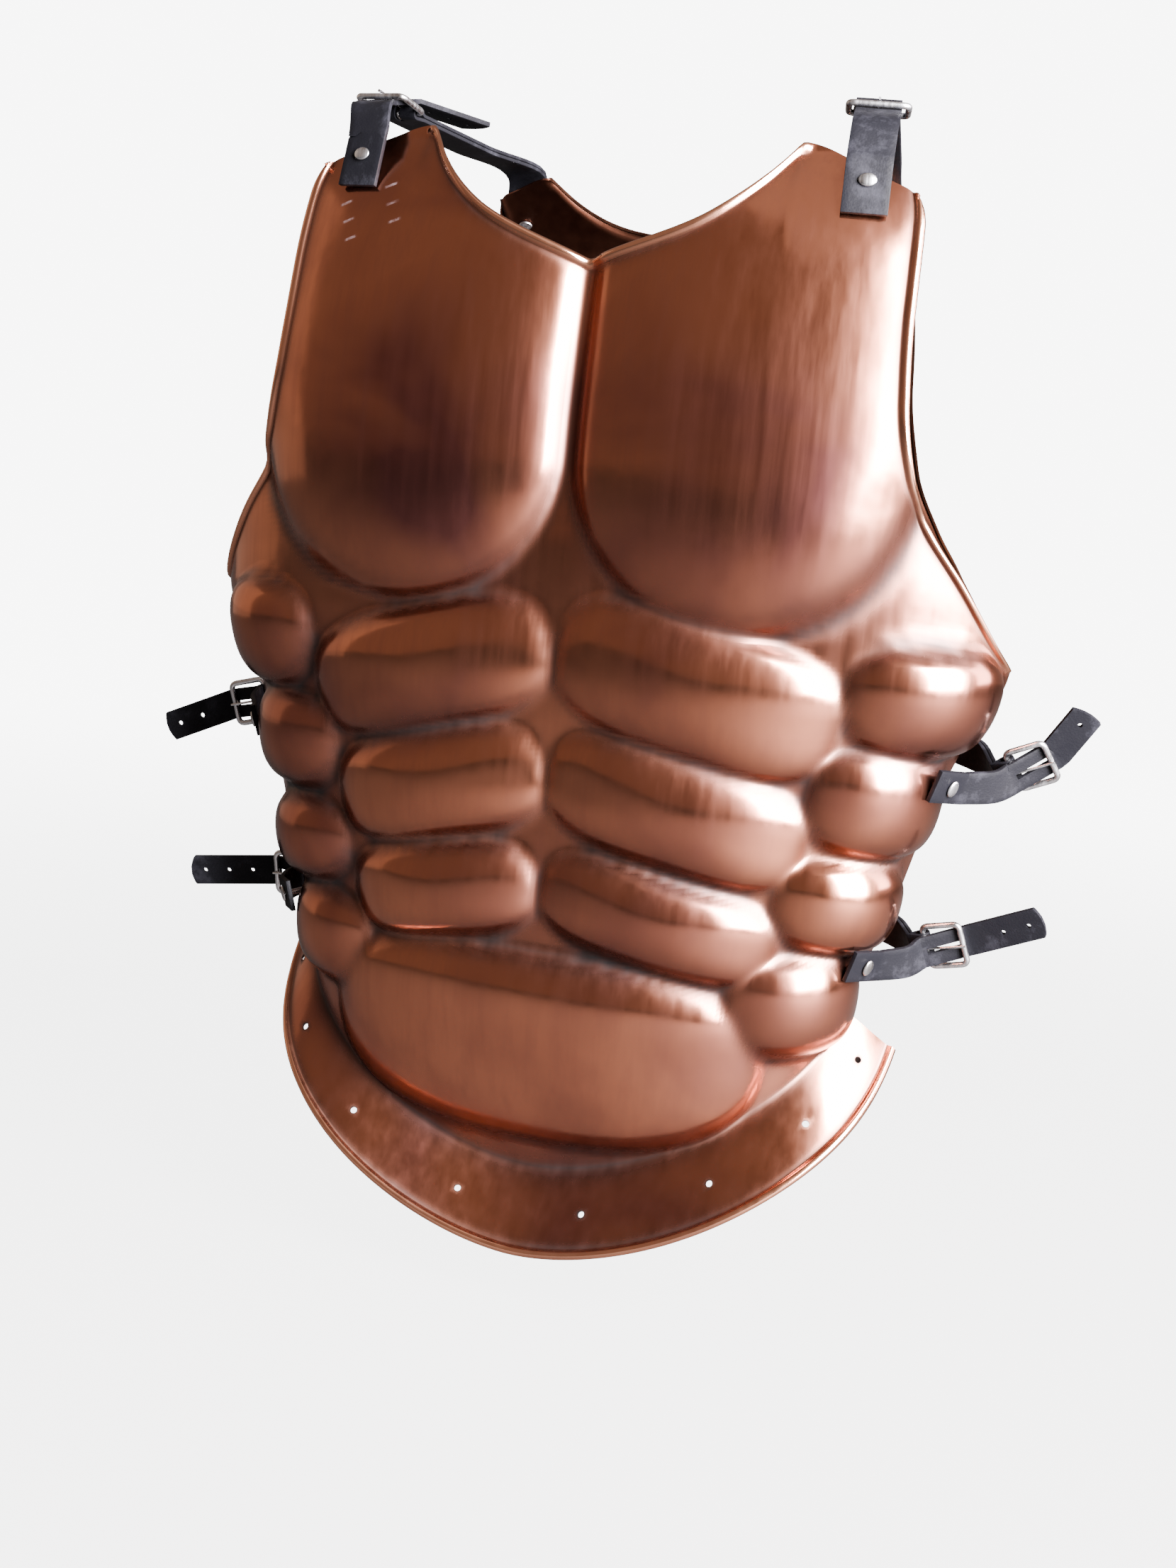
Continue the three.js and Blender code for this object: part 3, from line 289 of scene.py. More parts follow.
class Torso:
    """The smooth form that a plate is hammered round, by height and by distance from the centre
    line along the sheet."""

    pitch = 1 * mm

    def __init__(self, facing, width, depth, column):
        self.facing = facing
        self.heights = np.arange(-1.03 * plate_height, 0.004, self.pitch)
        self.girths = np.arange(0, 0.40, self.pitch)
        down = -self.heights / plate_height
        half = width / 2 * read(sections, "down", "wide", down)
        deep = depth * read(sections, "down", column, down)
        angles = np.radians(np.linspace(0, 100, 260))
        across = (np.abs(np.sin(angles))[None] / half[:, None]) ** section_power
        along = (np.abs(np.cos(angles))[None] / deep[:, None]) ** section_power
        radius = (across + along) ** (-1 / section_power)
        x, y = radius * np.sin(angles), radius * np.cos(angles)
        chord = np.hypot(np.diff(x, axis=1), np.diff(y, axis=1))
        self.run = np.concatenate([np.zeros((len(down), 1)), np.cumsum(chord, axis=1)], axis=1)
        self.raw_x, self.raw_y = x, y
        self.x = np.array([np.interp(self.girths, r, v) for r, v in zip(self.run, x)])
        self.y = np.array([np.interp(self.girths, r, v) for r, v in zip(self.run, y)])

    def point(self, girth, z):
        """Places on the smooth form, for arrays of girths and heights."""
        row = np.clip((z - self.heights[0]) / self.pitch, 0, len(self.heights) - 1.001)
        column = np.clip(np.abs(girth) / self.pitch, 0, len(self.girths) - 1.001)
        j, i = row.astype(int), column.astype(int)
        v, u = row - j, column - i
        def blend(grid):
            return mix(mix(grid[j, i], grid[j, i + 1], u), mix(grid[j + 1, i], grid[j + 1, i + 1], u), v)
        x, y = blend(self.x) * np.where(girth < 0, -1, 1), blend(self.y) * self.facing
        return np.stack([x, y, z + 0 * x], axis=-1)

    def normal(self, girth, z):
        """Outward directions there."""
        step = self.pitch
        here = self.point(girth, z)
        beside, above = self.point(girth + step, z) - here, self.point(girth, z + step) - here
        out = np.cross(beside, above) * -self.facing
        return out / np.linalg.norm(out, axis=-1, keepdims=True)

    def row(self, z):
        return int(np.clip(round((z - self.heights[0]) / self.pitch), 0, len(self.heights) - 1))

    def girth_at_width(self, x, z):
        j = self.row(z)
        return float(np.interp(x, self.raw_x[j][:234], self.run[j][:234]))

    def girth_at_setback(self, y, z):
        j = self.row(z)
        return float(np.interp(-y, -self.raw_y[j], self.run[j]))


def hump(share, shoulder, power):
    """1 in a form's middle and 0 on its outline, where share is 1."""
    return np.maximum(0, 1 - share ** shoulder) ** power


def front_relief(girth, z):
    """How far the muscles stand out."""
    height = np.zeros_like(girth)
    for m in muscles:
        along = girth * m["side"] - m["at"] * girth_unit
        up = z + m["down"] * plate_height
        turn = math.radians(m["tilt"])
        u = np.abs(along * math.cos(turn) + up * math.sin(turn)) / (m["reach"] * girth_unit)
        v = np.abs(up * math.cos(turn) - along * math.sin(turn)) / (m["tall"] * plate_height)
        power = rib_squareness if m["name"].startswith("rib") else muscle_squareness
        share = (u ** power + v ** power) ** (1 / power)
        crown = 1 - muscle_crown * np.minimum(u, 1) ** 2
        height = np.maximum(height, muscle_rise * crown * hump(share * 0.985, *muscle_profile))
    for c in chest:
        along = girth * c["side"] - c["at"] * girth_unit
        up = z + c["down"] * plate_height
        opening = np.where(along > 0, 1 + armpit_spread * ease(up / (0.08 * plate_height) + 0.35), 1)
        u = np.abs(along) / (c["reach"] * girth_unit * opening)
        v = np.maximum(0, -up) / (c["below"] * plate_height)
        faded = 1 - np.clip(up / (c["fade"] * plate_height), 0, 1) ** chest_fade_power
        height = np.maximum(height, chest_rise * faded * hump(np.hypot(u, v), *chest_profile))
    up = z + belly["down"] * plate_height
    u = np.abs(girth - belly["at"] * girth_unit) / (belly["reach"] * girth_unit)
    v = np.abs(up) / (plate_height * np.where(up > 0, belly["above"], belly["below"]))
    share = (u ** belly_squareness + v ** belly_squareness) ** (1 / belly_squareness)
    return np.maximum(height, muscle_rise * hump(share, *belly_profile))


def blurred(values, passes):
    """A grid of values, each pass averaging a place with its neighbours."""
    for _ in range(passes):
        padded = np.pad(values, 1, mode="edge")
        values = (padded[1:-1, 1:-1] * 2 + padded[:-2, 1:-1] + padded[2:, 1:-1]
                  + padded[1:-1, :-2] + padded[1:-1, 2:]) / 6
    return values


def hollows(height, spacing):
    """How sharply a relief turns up on both sides of a place, as in a groove: 1 where it is full."""
    padded = np.pad(height, 1, mode="edge")
    turn = (padded[:-2, 1:-1] + padded[2:, 1:-1] + padded[1:-1, :-2] + padded[1:-1, 2:]
            - 4 * height) / spacing
    return np.clip(turn / groove_full - groove_least, 0, 1)


def painted_chest_reflection(girth, z):
    """A painted dark reflection added to the patina's clouds, darkest in the middles of the chest muscles.
    """
    cloud_and_reflection = np.zeros_like(girth)
    for c in chest:
        u = (girth * c["side"] / girth_unit - c["at"] * 0.95) / 0.26
        v = (z / plate_height + c["down"] + 0.02) / 0.10
        cloud_and_reflection = np.maximum(cloud_and_reflection, np.exp(-(u ** 2 + v ** 2)))
    return shade_strength * cloud_and_reflection


front = {
    "name": "breastplate", "shade": painted_chest_reflection, "torso": Torso(-1, chest_width, front_depth, "front"),
    "width": chest_width, "setback": 12 * mm, "armpit_setback": 22 * mm, "relief": front_relief,
    "armhole": front_armhole,
    "crease": {"centre": 0.940, "side": 0.760, "bend": 1.8},
    "rib": {"centre": 0.404, "side": 0.430, "bend": 1.5},
    "top": {"middle_down": 0.116, "neck_wide": 0.427, "neck_down": 0.007, "corner_down": 0.044,
            "straight": 0.47, "bend": 4, "neck_share": 0.6},
}


def edge_girth(plate, z):
    """The side edge's distance from the centre line along the sheet, at a height."""
    armpit = -plate["rib"]["side"] * plate_height
    waist = -plate["crease"]["side"] * plate_height
    share = float(ease((z - waist) / (armpit - waist)))
    return plate["torso"].girth_at_setback(mix(plate["setback"], plate["armpit_setback"], share), z)


def line_height(line, u):
    return -plate_height * mix(line["centre"], line["side"], u ** line["bend"])


def top_edge(plate, u):
    """A place on the neckline or on the shoulder's short upper edge, as (girth, height)."""
    top, half = plate["top"], plate["width"] / 2
    corner_wide = plate["armhole"][-1]["wide"]
    if u <= top["neck_share"]:
        t = u / top["neck_share"]
        x = t * top["neck_wide"] * half
        curl = top["straight"] * t + (1 - top["straight"]) * t ** top["bend"]
        down = mix(top["middle_down"], top["neck_down"], curl)
    else:
        t = (u - top["neck_share"]) / (1 - top["neck_share"])
        x = mix(top["neck_wide"], corner_wide, t) * half
        down = mix(top["neck_down"], top["corner_down"], float(ease(t)))
    z = -down * plate_height
    return plate["torso"].girth_at_width(x, z), z


def armhole_edge(plate, up):
    z = -plate_height * mix(plate["rib"]["side"], plate["top"]["corner_down"], up)
    if up == 0:
        return edge_girth(plate, z), z
    wide = float(read(plate["armhole"], "up", "wide", np.array([up]))[0])
    return plate["torso"].girth_at_width(wide * plate["width"] / 2, z), z


def graded(length, spacing, crowded_start, crowded_end):
    """Shares from 0 to 1 along a length, crowded at an end where an edge is rolled."""
    close = np.cumsum([0, 0.5, 0.6, 0.7, 0.8, 0.8, 0.8, 0.7, 0.6, 0.7, 0.9, 1.2, 1.6, 2.0]) * mm
    start = close if crowded_start else np.array([0.0])
    end = length - close[::-1] if crowded_end else np.array([length])
    count = max(2, int(round((end[0] - start[-1]) / spacing)))
    middle = np.linspace(start[-1], end[0], count + 1)[1:-1]
    return np.concatenate([start, middle, end]) / length


def plate_places(plate):
    """Girth and height of each grid point from the crease up, row by row, and the rows above
    the rib line."""
    half_u = graded(edge_girth(plate, -0.5 * plate_height), fine, False, True)
    u = np.concatenate([-half_u[:0:-1], half_u])
    crease, rib = plate["crease"], plate["rib"]
    rows = []
    below = graded((crease["centre"] - rib["centre"]) * plate_height, fine, False, False)
    for share in below[:-1]:
        side_z = float(mix(line_height(crease, 1), line_height(rib, 1), share))
        z = mix(line_height(crease, np.abs(u)), line_height(rib, np.abs(u)), share)
        rows.append(np.stack([u * edge_girth(plate, side_z), z]))
    low_end = (edge_girth(plate, line_height(rib, 1)), line_height(rib, 1))
    high = np.array([top_edge(plate, abs(s)) for s in u]).T
    high_end = top_edge(plate, 1)
    above = graded((rib["centre"] - plate["top"]["middle_down"]) * plate_height, fine, False, True)
    for up in above:
        side = armhole_edge(plate, up)
        low = (np.abs(u) * low_end[0], line_height(rib, np.abs(u)))
        girth, z = (mix(low[k], high[k], up)
                    + np.abs(u) * (side[k] - mix(low_end[k], high_end[k], up)) for k in (0, 1))
        rows.append(np.stack([girth * np.sign(u), z]))
    rows = np.array(rows)
    rows[-len(above):] = round_corners(u, above, rows[-len(above):])
    return u, rows, len(above)


def round_corners(u, above, rows):
    """Draws the grid in at the shoulders' outer corners, so that they end in a round."""
    a = np.clip((np.abs(u)[None] - 1) / corner_share + 1, 0, 1)
    b = np.clip((above[:, None] - 1) / corner_share + 1, 0, 1)
    across = np.sign(u) * (np.abs(u) + corner_share * a * (np.sqrt(1 - b * b / 2) - 1))
    along = above[:, None] + corner_share * b * (np.sqrt(1 - a * a / 2) - 1)
    column = np.interp(across, u, np.arange(len(u)))
    row = np.interp(along, above, np.arange(len(above)))
    i, j = np.minimum(row.astype(int), len(above) - 2), np.minimum(column.astype(int), len(u) - 2)
    s, t = row - i, column - j
    return np.stack([mix(mix(g[i, j], g[i, j + 1], t), mix(g[i + 1, j], g[i + 1, j + 1], t), s)
                     for g in (rows[:, 0], rows[:, 1])], axis=1)


def flange_rows(plate, u):
    """The flange, from its rolled edge up to the crease."""
    torso, crease = plate["torso"], plate["crease"]
    half = np.abs(u)
    z = line_height(crease, half)
    girth = u * edge_girth(plate, line_height(crease, 1))
    point = torso.point(girth, z)
    beside = torso.point(girth + 1 * mm, z) - point
    out = np.stack([beside[:, 1], -beside[:, 0], 0 * z], axis=-1) * -torso.facing
    out /= np.linalg.norm(out, axis=-1, keepdims=True)
    rows = []
    for share in 1 - graded(flange_drop * 1.2, fine, True, False)[:-1]:
        row = point + out * (mix(flange_flare, flange_end_flare, half ** 6) * share)[:, None]
        row[:, 2] -= mix(flange_drop, flange_end_drop, half ** 4) * share
        if torso.facing < 0:
            row[:, 0] += flange_lean * share
            row[:, 1] += flange_wrap * half ** 6 * share
        rows.append(row)
    return np.array(rows)


def bead(distance):
    """The rolled edge's height over the sheet, with a shallow groove set in behind it."""
    round_part = np.sqrt(np.clip(1 - (distance / bead_width * 2 - 1) ** 2, 0, 1))
    dip = np.exp(-((distance - bead_width * 1.18) / (bead_width * 0.22)) ** 2)
    return bead_rise * np.where(distance < bead_width, round_part, 0) - 0.25 * bead_rise * dip


def build_plate(plate):
    """A grid drawn through the plate's form, with its rims raised, thickened inwards. Its points
    carry masks for the colour: the grooves' patina, a haze of patina beside them with painted
    shade on steep walls, on undersides and near the crease, the rims' wear and painted highlight,
    a painted dark reflection on the chest and patina down the spine, and the inside."""
    u, places, chest_rows = plate_places(plate)
    torso = plate["torso"]
    girth, z = places[:, 0], places[:, 1]
    height = blurred(plate["relief"](girth, z), relief_passes)
    body = torso.point(girth, z) + torso.normal(girth, z) * height[..., None]
    flange = flange_rows(plate, u)
    grid = np.concatenate([flange, body])
    rows, columns = grid.shape[:2]
    groove = np.concatenate([np.zeros((len(flange), columns)), hollows(height, fine)])
    crease_row = len(flange)
    from_crease = np.linalg.norm(grid - grid[crease_row][None], axis=-1)
    near_crease = np.exp(-(from_crease / crease_width) ** 2)
    groove = np.maximum(groove, near_crease)

    sideways, upwards = np.gradient(grid, axis=1), np.gradient(grid, axis=0)
    normal = np.cross(sideways, upwards) * -torso.facing
    normal /= np.linalg.norm(normal, axis=-1, keepdims=True)
    far = np.full((rows, columns), 1.0)
    chest_start = rows - chest_rows
    middle = columns // 2
    neck = np.abs(u) <= plate["top"]["neck_share"] + 0.02
    to_bottom = np.linalg.norm(grid - grid[:1], axis=-1)
    to_top = np.linalg.norm(grid - grid[-1:], axis=-1)
    to_side = np.where(np.arange(columns)[None] < middle,
                       np.linalg.norm(grid - grid[:, :1], axis=-1),
                       np.linalg.norm(grid - grid[:, -1:], axis=-1))
    to_bottom[crease_row:] = far[crease_row:]
    to_top[:chest_start] = far[:chest_start]
    to_top[:, ~neck] = 1
    armpit = np.ones(rows)
    armpit[:chest_start] = 0
    edge = np.minimum(to_bottom, to_top)
    armhole = np.where(armpit[:, None] > 0, to_side, 1)
    grid = grid + normal * np.maximum(bead(edge), bead(armhole))[..., None]
    nearest = np.minimum(edge, armhole)
    rim = np.exp(-((nearest - bead_width * 0.45) / (bead_width * 0.45)) ** 2)
    behind = np.exp(-((nearest - bead_width * 1.25) / (bead_width * 0.35)) ** 2)
    groove = np.clip(np.maximum(groove, behind * 0.8), 0, 1)
    # The halo mask holds a soft patina haze beside the grooves, and painted shade: on undersides that face
    # down, on the relief's steep walls, and near the crease.
    rise = np.concatenate([np.zeros((len(flange), columns)), height])
    steep = np.hypot(*np.gradient(rise, fine))
    under = ease(-normal[..., 2] * 1.7 - 0.15)
    patina_haze_and_shade = blurred(groove, 14) * 1.6 + 0.7 * under + ease((steep - 0.45) / 0.7)
    patina_haze_and_shade += 0.8 * np.exp(-(from_crease / crease_shade_reach) ** 2)
    patina_haze_and_shade = np.clip(patina_haze_and_shade, 0, 1) * (1 - rim)
    groove = blurred(groove, 1) * (1 - rim)
    shade = plate["shade"](np.concatenate([np.zeros((len(flange), columns)), girth]), grid[..., 2])

    bpy.ops.object.select_all(action="DESELECT")
    bpy.ops.mesh.primitive_grid_add(x_subdivisions=columns - 1, y_subdivisions=rows - 1, size=1)
    piece = bpy.context.object
    piece.name = plate["name"] + "_sheet"
    mesh = piece.data
    mesh.vertices.foreach_set("co", grid.reshape(-1))
    if torso.facing > 0:
        mesh.flip_normals()
    for name, values in (("groove", groove), ("rim", rim), ("patina_haze_and_shade", patina_haze_and_shade), ("shade", shade)):
        mesh.attributes.new(name, "FLOAT", "POINT").data.foreach_set("value", values.reshape(-1))
    relax = piece.modifiers.new("relax", "SMOOTH")
    relax.factor, relax.iterations = 0.5, 2
    wall = piece.modifiers.new("sheet", "SOLIDIFY")
    wall.thickness, wall.offset = sheet, -1
    bpy.ops.object.modifier_apply(modifier=relax.name)
    bpy.ops.object.modifier_apply(modifier=wall.name)
    inside = mesh.attributes.new("inside", "FLOAT", "POINT")
    count = rows * columns
    inside.data.foreach_set("value", np.concatenate(
        [np.zeros(count), np.ones(len(mesh.vertices) - count)]))
    bpy.ops.object.shade_smooth()
    return piece


breastplate = build_plate(front)


def effect(name, inputs, outputs):
    """An empty shader node group with float inputs, and colour or float outputs."""
    group = bpy.data.node_groups.new(name, "ShaderNodeTree")
    for key, value in inputs.items():
        group.interface.new_socket(key, in_out="INPUT", socket_type="NodeSocketFloat").default_value = value
    for key, kind in outputs.items():
        group.interface.new_socket(key, in_out="OUTPUT", socket_type="NodeSocket" + kind)
    return group, group.nodes.new("NodeGroupInput"), group.nodes.new("NodeGroupOutput")


def noise(tree, place, scale, detail=4, rough=0.55, stretch=(1, 1, 1), turn=(0, 0, 0), warp=0.0):
    """Noise between 0 and 1, stretched along an axis where the metal is brushed or the hide grained."""
    mapped = add_node(tree, "ShaderNodeMapping", {"Vector": place, "Scale": stretch, "Rotation": turn})
    return add_node(tree, "ShaderNodeTexNoise",
                    {"Vector": mapped.outputs[0], "Scale": scale, "Detail": detail,
                     "Roughness": rough, "Distortion": warp}).outputs["Fac"]


def spread(tree, value, low, high, to_low=0.0, to_high=1.0):
    """A value stretched from one range to another, and held inside it."""
    return add_node(tree, "ShaderNodeMapRange",
                    {"Value": value, "From Min": low, "From Max": high,
                     "To Min": to_low, "To Max": to_high}).outputs[0]


def maths(tree, kind, first, second=0.0):
    return add_node(tree, "ShaderNodeMath", {0: first, 1: second}, operation=kind).outputs[0]


def tint(tree, share, low, high, blend="MIX"):
    """Two colours mixed by a mask."""
    mixed = add_node(tree, "ShaderNodeMix", {0: share}, data_type="RGBA", blend_type=blend)
    for socket, colour in ((mixed.inputs[6], low), (mixed.inputs[7], high)):
        if isinstance(colour, bpy.types.NodeSocket):
            tree.links.new(colour, socket)
        else:
            socket.default_value = (*colour, 1)
    return mixed.outputs[2]


# Tarnish on hand-finished metal: clouded patches, the streaks of a buffing wheel that ran up and
# down, and fine pits.
tarnish, tarnish_in, tarnish_out = effect(
    "tarnish", {"Cloud Scale": 9.0, "Streak Scale": 90.0},
    {"Clouds": "Float", "Streaks": "Float", "Pits": "Float"})
at = add_node(tarnish, "ShaderNodeTexCoord").outputs["Object"]
tarnish.links.new(noise(tarnish, at, tarnish_in.outputs["Cloud Scale"], 3, 0.45, warp=0.4),
                  tarnish_out.inputs["Clouds"])
tarnish.links.new(noise(tarnish, at, tarnish_in.outputs["Streak Scale"], 4, 0.55, (1, 1, 0.05)),
                  tarnish_out.inputs["Streaks"])
tarnish.links.new(noise(tarnish, at, 420.0, 3, 0.6), tarnish_out.inputs["Pits"])

bronze = (0.50, 0.188, 0.108)
bronze_wear_and_highlight = (0.84, 0.42, 0.26)
bronze_cloud_and_reflection = (0.17, 0.060, 0.052)
bronze_haze_and_shade = (0.075, 0.037, 0.033)
verdigris_and_hole_shade = (0.030, 0.027, 0.027)
bronze_inside = (0.060, 0.022, 0.013)
scuff_pale = (0.62, 0.50, 0.56)
buffed_rough = (0.12, 0.19)
rough_more = {"cloud_and_reflection": 0.06, "haze_and_shade": 0.10, "patina": 0.22, "inside": 0.15, "scuff": 0.35}
scuff_centre = (-0.117, -0.070, -0.050)
scuff_turn = 22
scuff_pitch = (13 * mm, 4.75 * mm)
scuff_reach = (17 * mm, 19 * mm)


def scuff_marks(tree):
    """Six short diagonal scuffs below the shoulder strap at the viewer's left."""
    at = add_node(tree, "ShaderNodeTexCoord").outputs["Object"]
    local = add_node(tree, "ShaderNodeVectorMath", {0: at, 1: scuff_centre},
                     operation="SUBTRACT").outputs["Vector"]
    turn = math.radians(scuff_turn)
    along, across = (add_node(tree, "ShaderNodeVectorMath", {0: local, 1: way},
                              operation="DOT_PRODUCT").outputs["Value"]
                     for way in ((math.cos(turn), 0, math.sin(turn)), (-math.sin(turn), 0, math.cos(turn))))
    marks = maths(tree, "MULTIPLY",
                  spread(tree, maths(tree, "PINGPONG", along, scuff_pitch[0]), 9 * mm, 10.5 * mm),
                  spread(tree, maths(tree, "PINGPONG", across, scuff_pitch[1]), 1.0 * mm, 0.4 * mm))
    away = maths(tree, "MAXIMUM", maths(tree, "ABSOLUTE", along),
                 maths(tree, "MULTIPLY", maths(tree, "ABSOLUTE", across), 1.35))
    near = spread(tree, away, scuff_reach[1], scuff_reach[0])
    rubbed = spread(tree, noise(tree, at, 260.0, 3, 0.6), 0.35, 0.62, 0.15, 0.75)
    return maths(tree, "MULTIPLY", maths(tree, "MULTIPLY", marks, near), rubbed)


def plate_material(name):
    """Copper-bronze with dark patina in its grooves, clouded and buffed raised forms, and painted light:
    rims brightened for wear and a painted highlight, painted shade on steep walls, on undersides and
    near the crease, and a painted dark reflection in the chest muscles.
    """
    tree, shader, material = shelled_material(name)
    marks = add_node(tree, "ShaderNodeGroup", {"Cloud Scale": 11.0, "Streak Scale": 150.0},
                     node_tree=tarnish)
    clouds, streaks, pits = (marks.outputs[key] for key in ("Clouds", "Streaks", "Pits"))
    masks = {key: add_node(tree, "ShaderNodeAttribute", attribute_name=key).outputs["Fac"]
             for key in ("groove", "patina_haze_and_shade", "rim", "inside", "shade")}
    # The clouds take in the shade mask: a painted dark reflection in the middles of the chest muscles, and
    # patina down the spine.
    clouds_and_reflection = spread(tree, maths(tree, "ADD", clouds, masks["shade"]), 0.44, 0.80)
    colour = tint(tree, clouds_and_reflection, bronze, bronze_cloud_and_reflection)
    colour = tint(tree, spread(tree, streaks, 0.42, 0.72, 0, 0.22), colour, bronze_cloud_and_reflection)
    # The rims are painted brighter: partly wear, partly a painted highlight.
    rim_wear_and_highlight = maths(tree, "MULTIPLY", masks["rim"], spread(tree, clouds, 0.25, 0.6, 1.0, 0.55))
    colour = tint(tree, rim_wear_and_highlight, colour, bronze_wear_and_highlight)
    # Painted shade, with the patina haze beside the grooves: darker on steep walls, on undersides and near
    # the crease.
    hazed_and_shaded = maths(tree, "MULTIPLY", masks["patina_haze_and_shade"], spread(tree, clouds, 0.25, 0.65, 0.25, 0.75))
    colour = tint(tree, hazed_and_shaded, colour, bronze_haze_and_shade)
    # The grooves' dark patina; round the drilled holes the same mask is painted shade.
    patina_and_hole_shade = maths(tree, "MULTIPLY", masks["groove"], spread(tree, clouds, 0.3, 0.62, 0.72, 1.0))
    colour = tint(tree, patina_and_hole_shade, colour, verdigris_and_hole_shade)
    scuffed = scuff_marks(tree)
    colour = tint(tree, scuffed, colour, scuff_pale)
    colour = tint(tree, masks["inside"], colour, bronze_inside)
    tree.links.new(colour, shader.inputs["Base Color"])
    rough = spread(tree, streaks, 0.3, 0.7, *buffed_rough)
    for key, mask in (("cloud_and_reflection", clouds_and_reflection), ("haze_and_shade", hazed_and_shaded), ("patina", patina_and_hole_shade),
                      ("inside", masks["inside"]), ("scuff", scuffed)):
        rough = maths(tree, "ADD", rough, maths(tree, "MULTIPLY", mask, rough_more[key]))
    tree.links.new(rough, shader.inputs["Roughness"])
    shader.inputs["Metallic"].default_value = 1.0
    dents = noise(tree, add_node(tree, "ShaderNodeTexCoord").outputs["Object"], 34.0, 2, 0.5)
    height = maths(tree, "ADD", maths(tree, "MULTIPLY", dents, 1.0),
                   maths(tree, "ADD", maths(tree, "MULTIPLY", streaks, 0.05),
                         maths(tree, "MULTIPLY", pits, 0.012)))
    bump = add_node(tree, "ShaderNodeBump", {"Height": height, "Strength": 0.3, "Distance": 0.001})
    tree.links.new(bump.outputs[0], shader.inputs["Normal"])
    return material


bronze_material = plate_material("antique_bronze")


def rest_on(piece, node, name):
    """Gives a finished piece its name and its place in the frame."""
    piece.name = name
    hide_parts(node)
    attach(piece, "root")
    return piece


def deselect():
    bpy.ops.object.select_all(action="DESELECT")


def active(piece):
    deselect()
    piece.select_set(True)
    bpy.context.view_layer.objects.active = piece


def apply_modifier(piece, kind, **settings):
    """Adds a modifier, sets it and applies it."""
    active(piece)
    made = piece.modifiers.new(kind.lower(), kind)
    for key, value in settings.items():
        setattr(made, key, value)
    bpy.ops.object.modifier_apply(modifier=made.name)


def place_in_mesh(piece):
    """Moves an object's place, turn and size into its mesh."""
    active(piece)
    bpy.ops.object.transform_apply(location=True, rotation=True, scale=True)


def drill(point, direction, radius, length, sides=20):
    """A round cutter, centred at a point."""
    deselect()
    bpy.ops.mesh.primitive_cylinder_add(vertices=sides, radius=radius, depth=length, location=point,
                                        rotation=direction.to_track_quat("Z", "Y").to_euler())
    cutter = bpy.context.object
    place_in_mesh(cutter)
    return cutter


def cut_away(piece, cutters):
    """Cuts a list of cutters out of a piece in one go, and throws the cutters away."""
    active(cutters[0])
    for cutter in cutters[1:]:
        cutter.select_set(True)
    if len(cutters) > 1:
        bpy.ops.object.join()
    tool = bpy.context.object
    apply_modifier(piece, "BOOLEAN", operation="DIFFERENCE", solver="EXACT", object=tool)
    bpy.data.objects.remove(tool)


def flange_holes(plate):
    """Cutters for the lacing holes along a flange."""
    torso, crease = plate["torso"], plate["crease"]
    cutters = []
    for side in (-1, 1):
        for u in (0.19, 0.54, 0.78, 0.94):
            def spot(share, along=u):
                z = line_height(crease, np.array([along]))
                girth = side * along * edge_girth(plate, line_height(crease, 1))
                point = torso.point(girth, z)[0]
                out = torso.point(girth + 1 * mm, z)[0] - point
                out = np.array([out[1], -out[0], 0]) * -torso.facing
                out /= np.linalg.norm(out)
                point = point + out * mix(flange_flare, flange_end_flare, along ** 6) * share
                point[2] -= mix(flange_drop, flange_end_drop, along ** 4) * share
                if torso.facing < 0:
                    point += np.array([flange_lean, flange_wrap * along ** 6, 0]) * share
                return Vector(point)
            low, high = spot(0.72), spot(0.3)
            beside = spot(0.5, u - 0.02) - spot(0.5)
            cutters.append(drill((low + high) / 2, beside.cross(high - low).normalized(),
                                 flange_hole, 12 * mm))
    return cutters


breastplate.data.materials.append(bronze_material)
rest_on(breastplate, "breastplate", "front_plate")

# Backplate: the same sheet, plain but for the shoulder blades and the two long muscles beside the
# spine. Its side edges close inside the breastplate's.
back_width = chest_width - 36 * mm
back_depth = 138 * mm
back_rise = 8.6 * mm
back_armhole = [
    {"up": 0.00, "wide": 0.975}, {"up": 0.08, "wide": 0.930}, {"up": 0.17, "wide": 0.850},
    {"up": 0.28, "wide": 0.730}, {"up": 0.42, "wide": 0.640}, {"up": 0.62, "wide": 0.600},
    {"up": 1.00, "wide": 0.600},
]


def back_relief(girth, z):
    """Two shoulder blades and two long muscles beside the spine."""
    down, across = -z / plate_height, np.abs(girth) / girth_unit
    blade = hump(np.hypot((across - 0.42) / 0.34, (down - 0.27) / 0.17), 2.2, 0.8)
    loin = hump(np.hypot((across - 0.17) / 0.15, (down - 0.62) / 0.30), 2.2, 0.8)
    return back_rise * np.maximum(blade, loin)


def back_shade(girth, z):
    """The patina settles down the furrow of the spine."""
    return 0.16 * np.exp(-(girth / (26 * mm)) ** 2)


back = {
    "name": "backplate", "shade": back_shade, "torso": Torso(1, back_width, back_depth, "back"),
    "width": back_width, "setback": 24 * mm, "armpit_setback": 28 * mm, "relief": back_relief,
    "armhole": back_armhole,
    "crease": {"centre": 0.880, "side": 0.771, "bend": 1.8},
    "rib": {"centre": 0.420, "side": 0.438, "bend": 1.5},
    "top": {"middle_down": 0.060, "neck_wide": 0.420, "neck_down": 0.016, "corner_down": 0.034,
            "straight": 0.04, "bend": 4, "neck_share": 0.667},
}
backplate = build_plate(back)
backplate.data.materials.append(bronze_material)
rest_on(backplate, "backplate", "back_plate")
plates = {"front": front, "back": back}
hit_tests = {}
for key, piece in (("front", breastplate), ("back", backplate)):
    hit_tests[key] = BVHTree.FromObject(piece, bpy.context.evaluated_depsgraph_get())

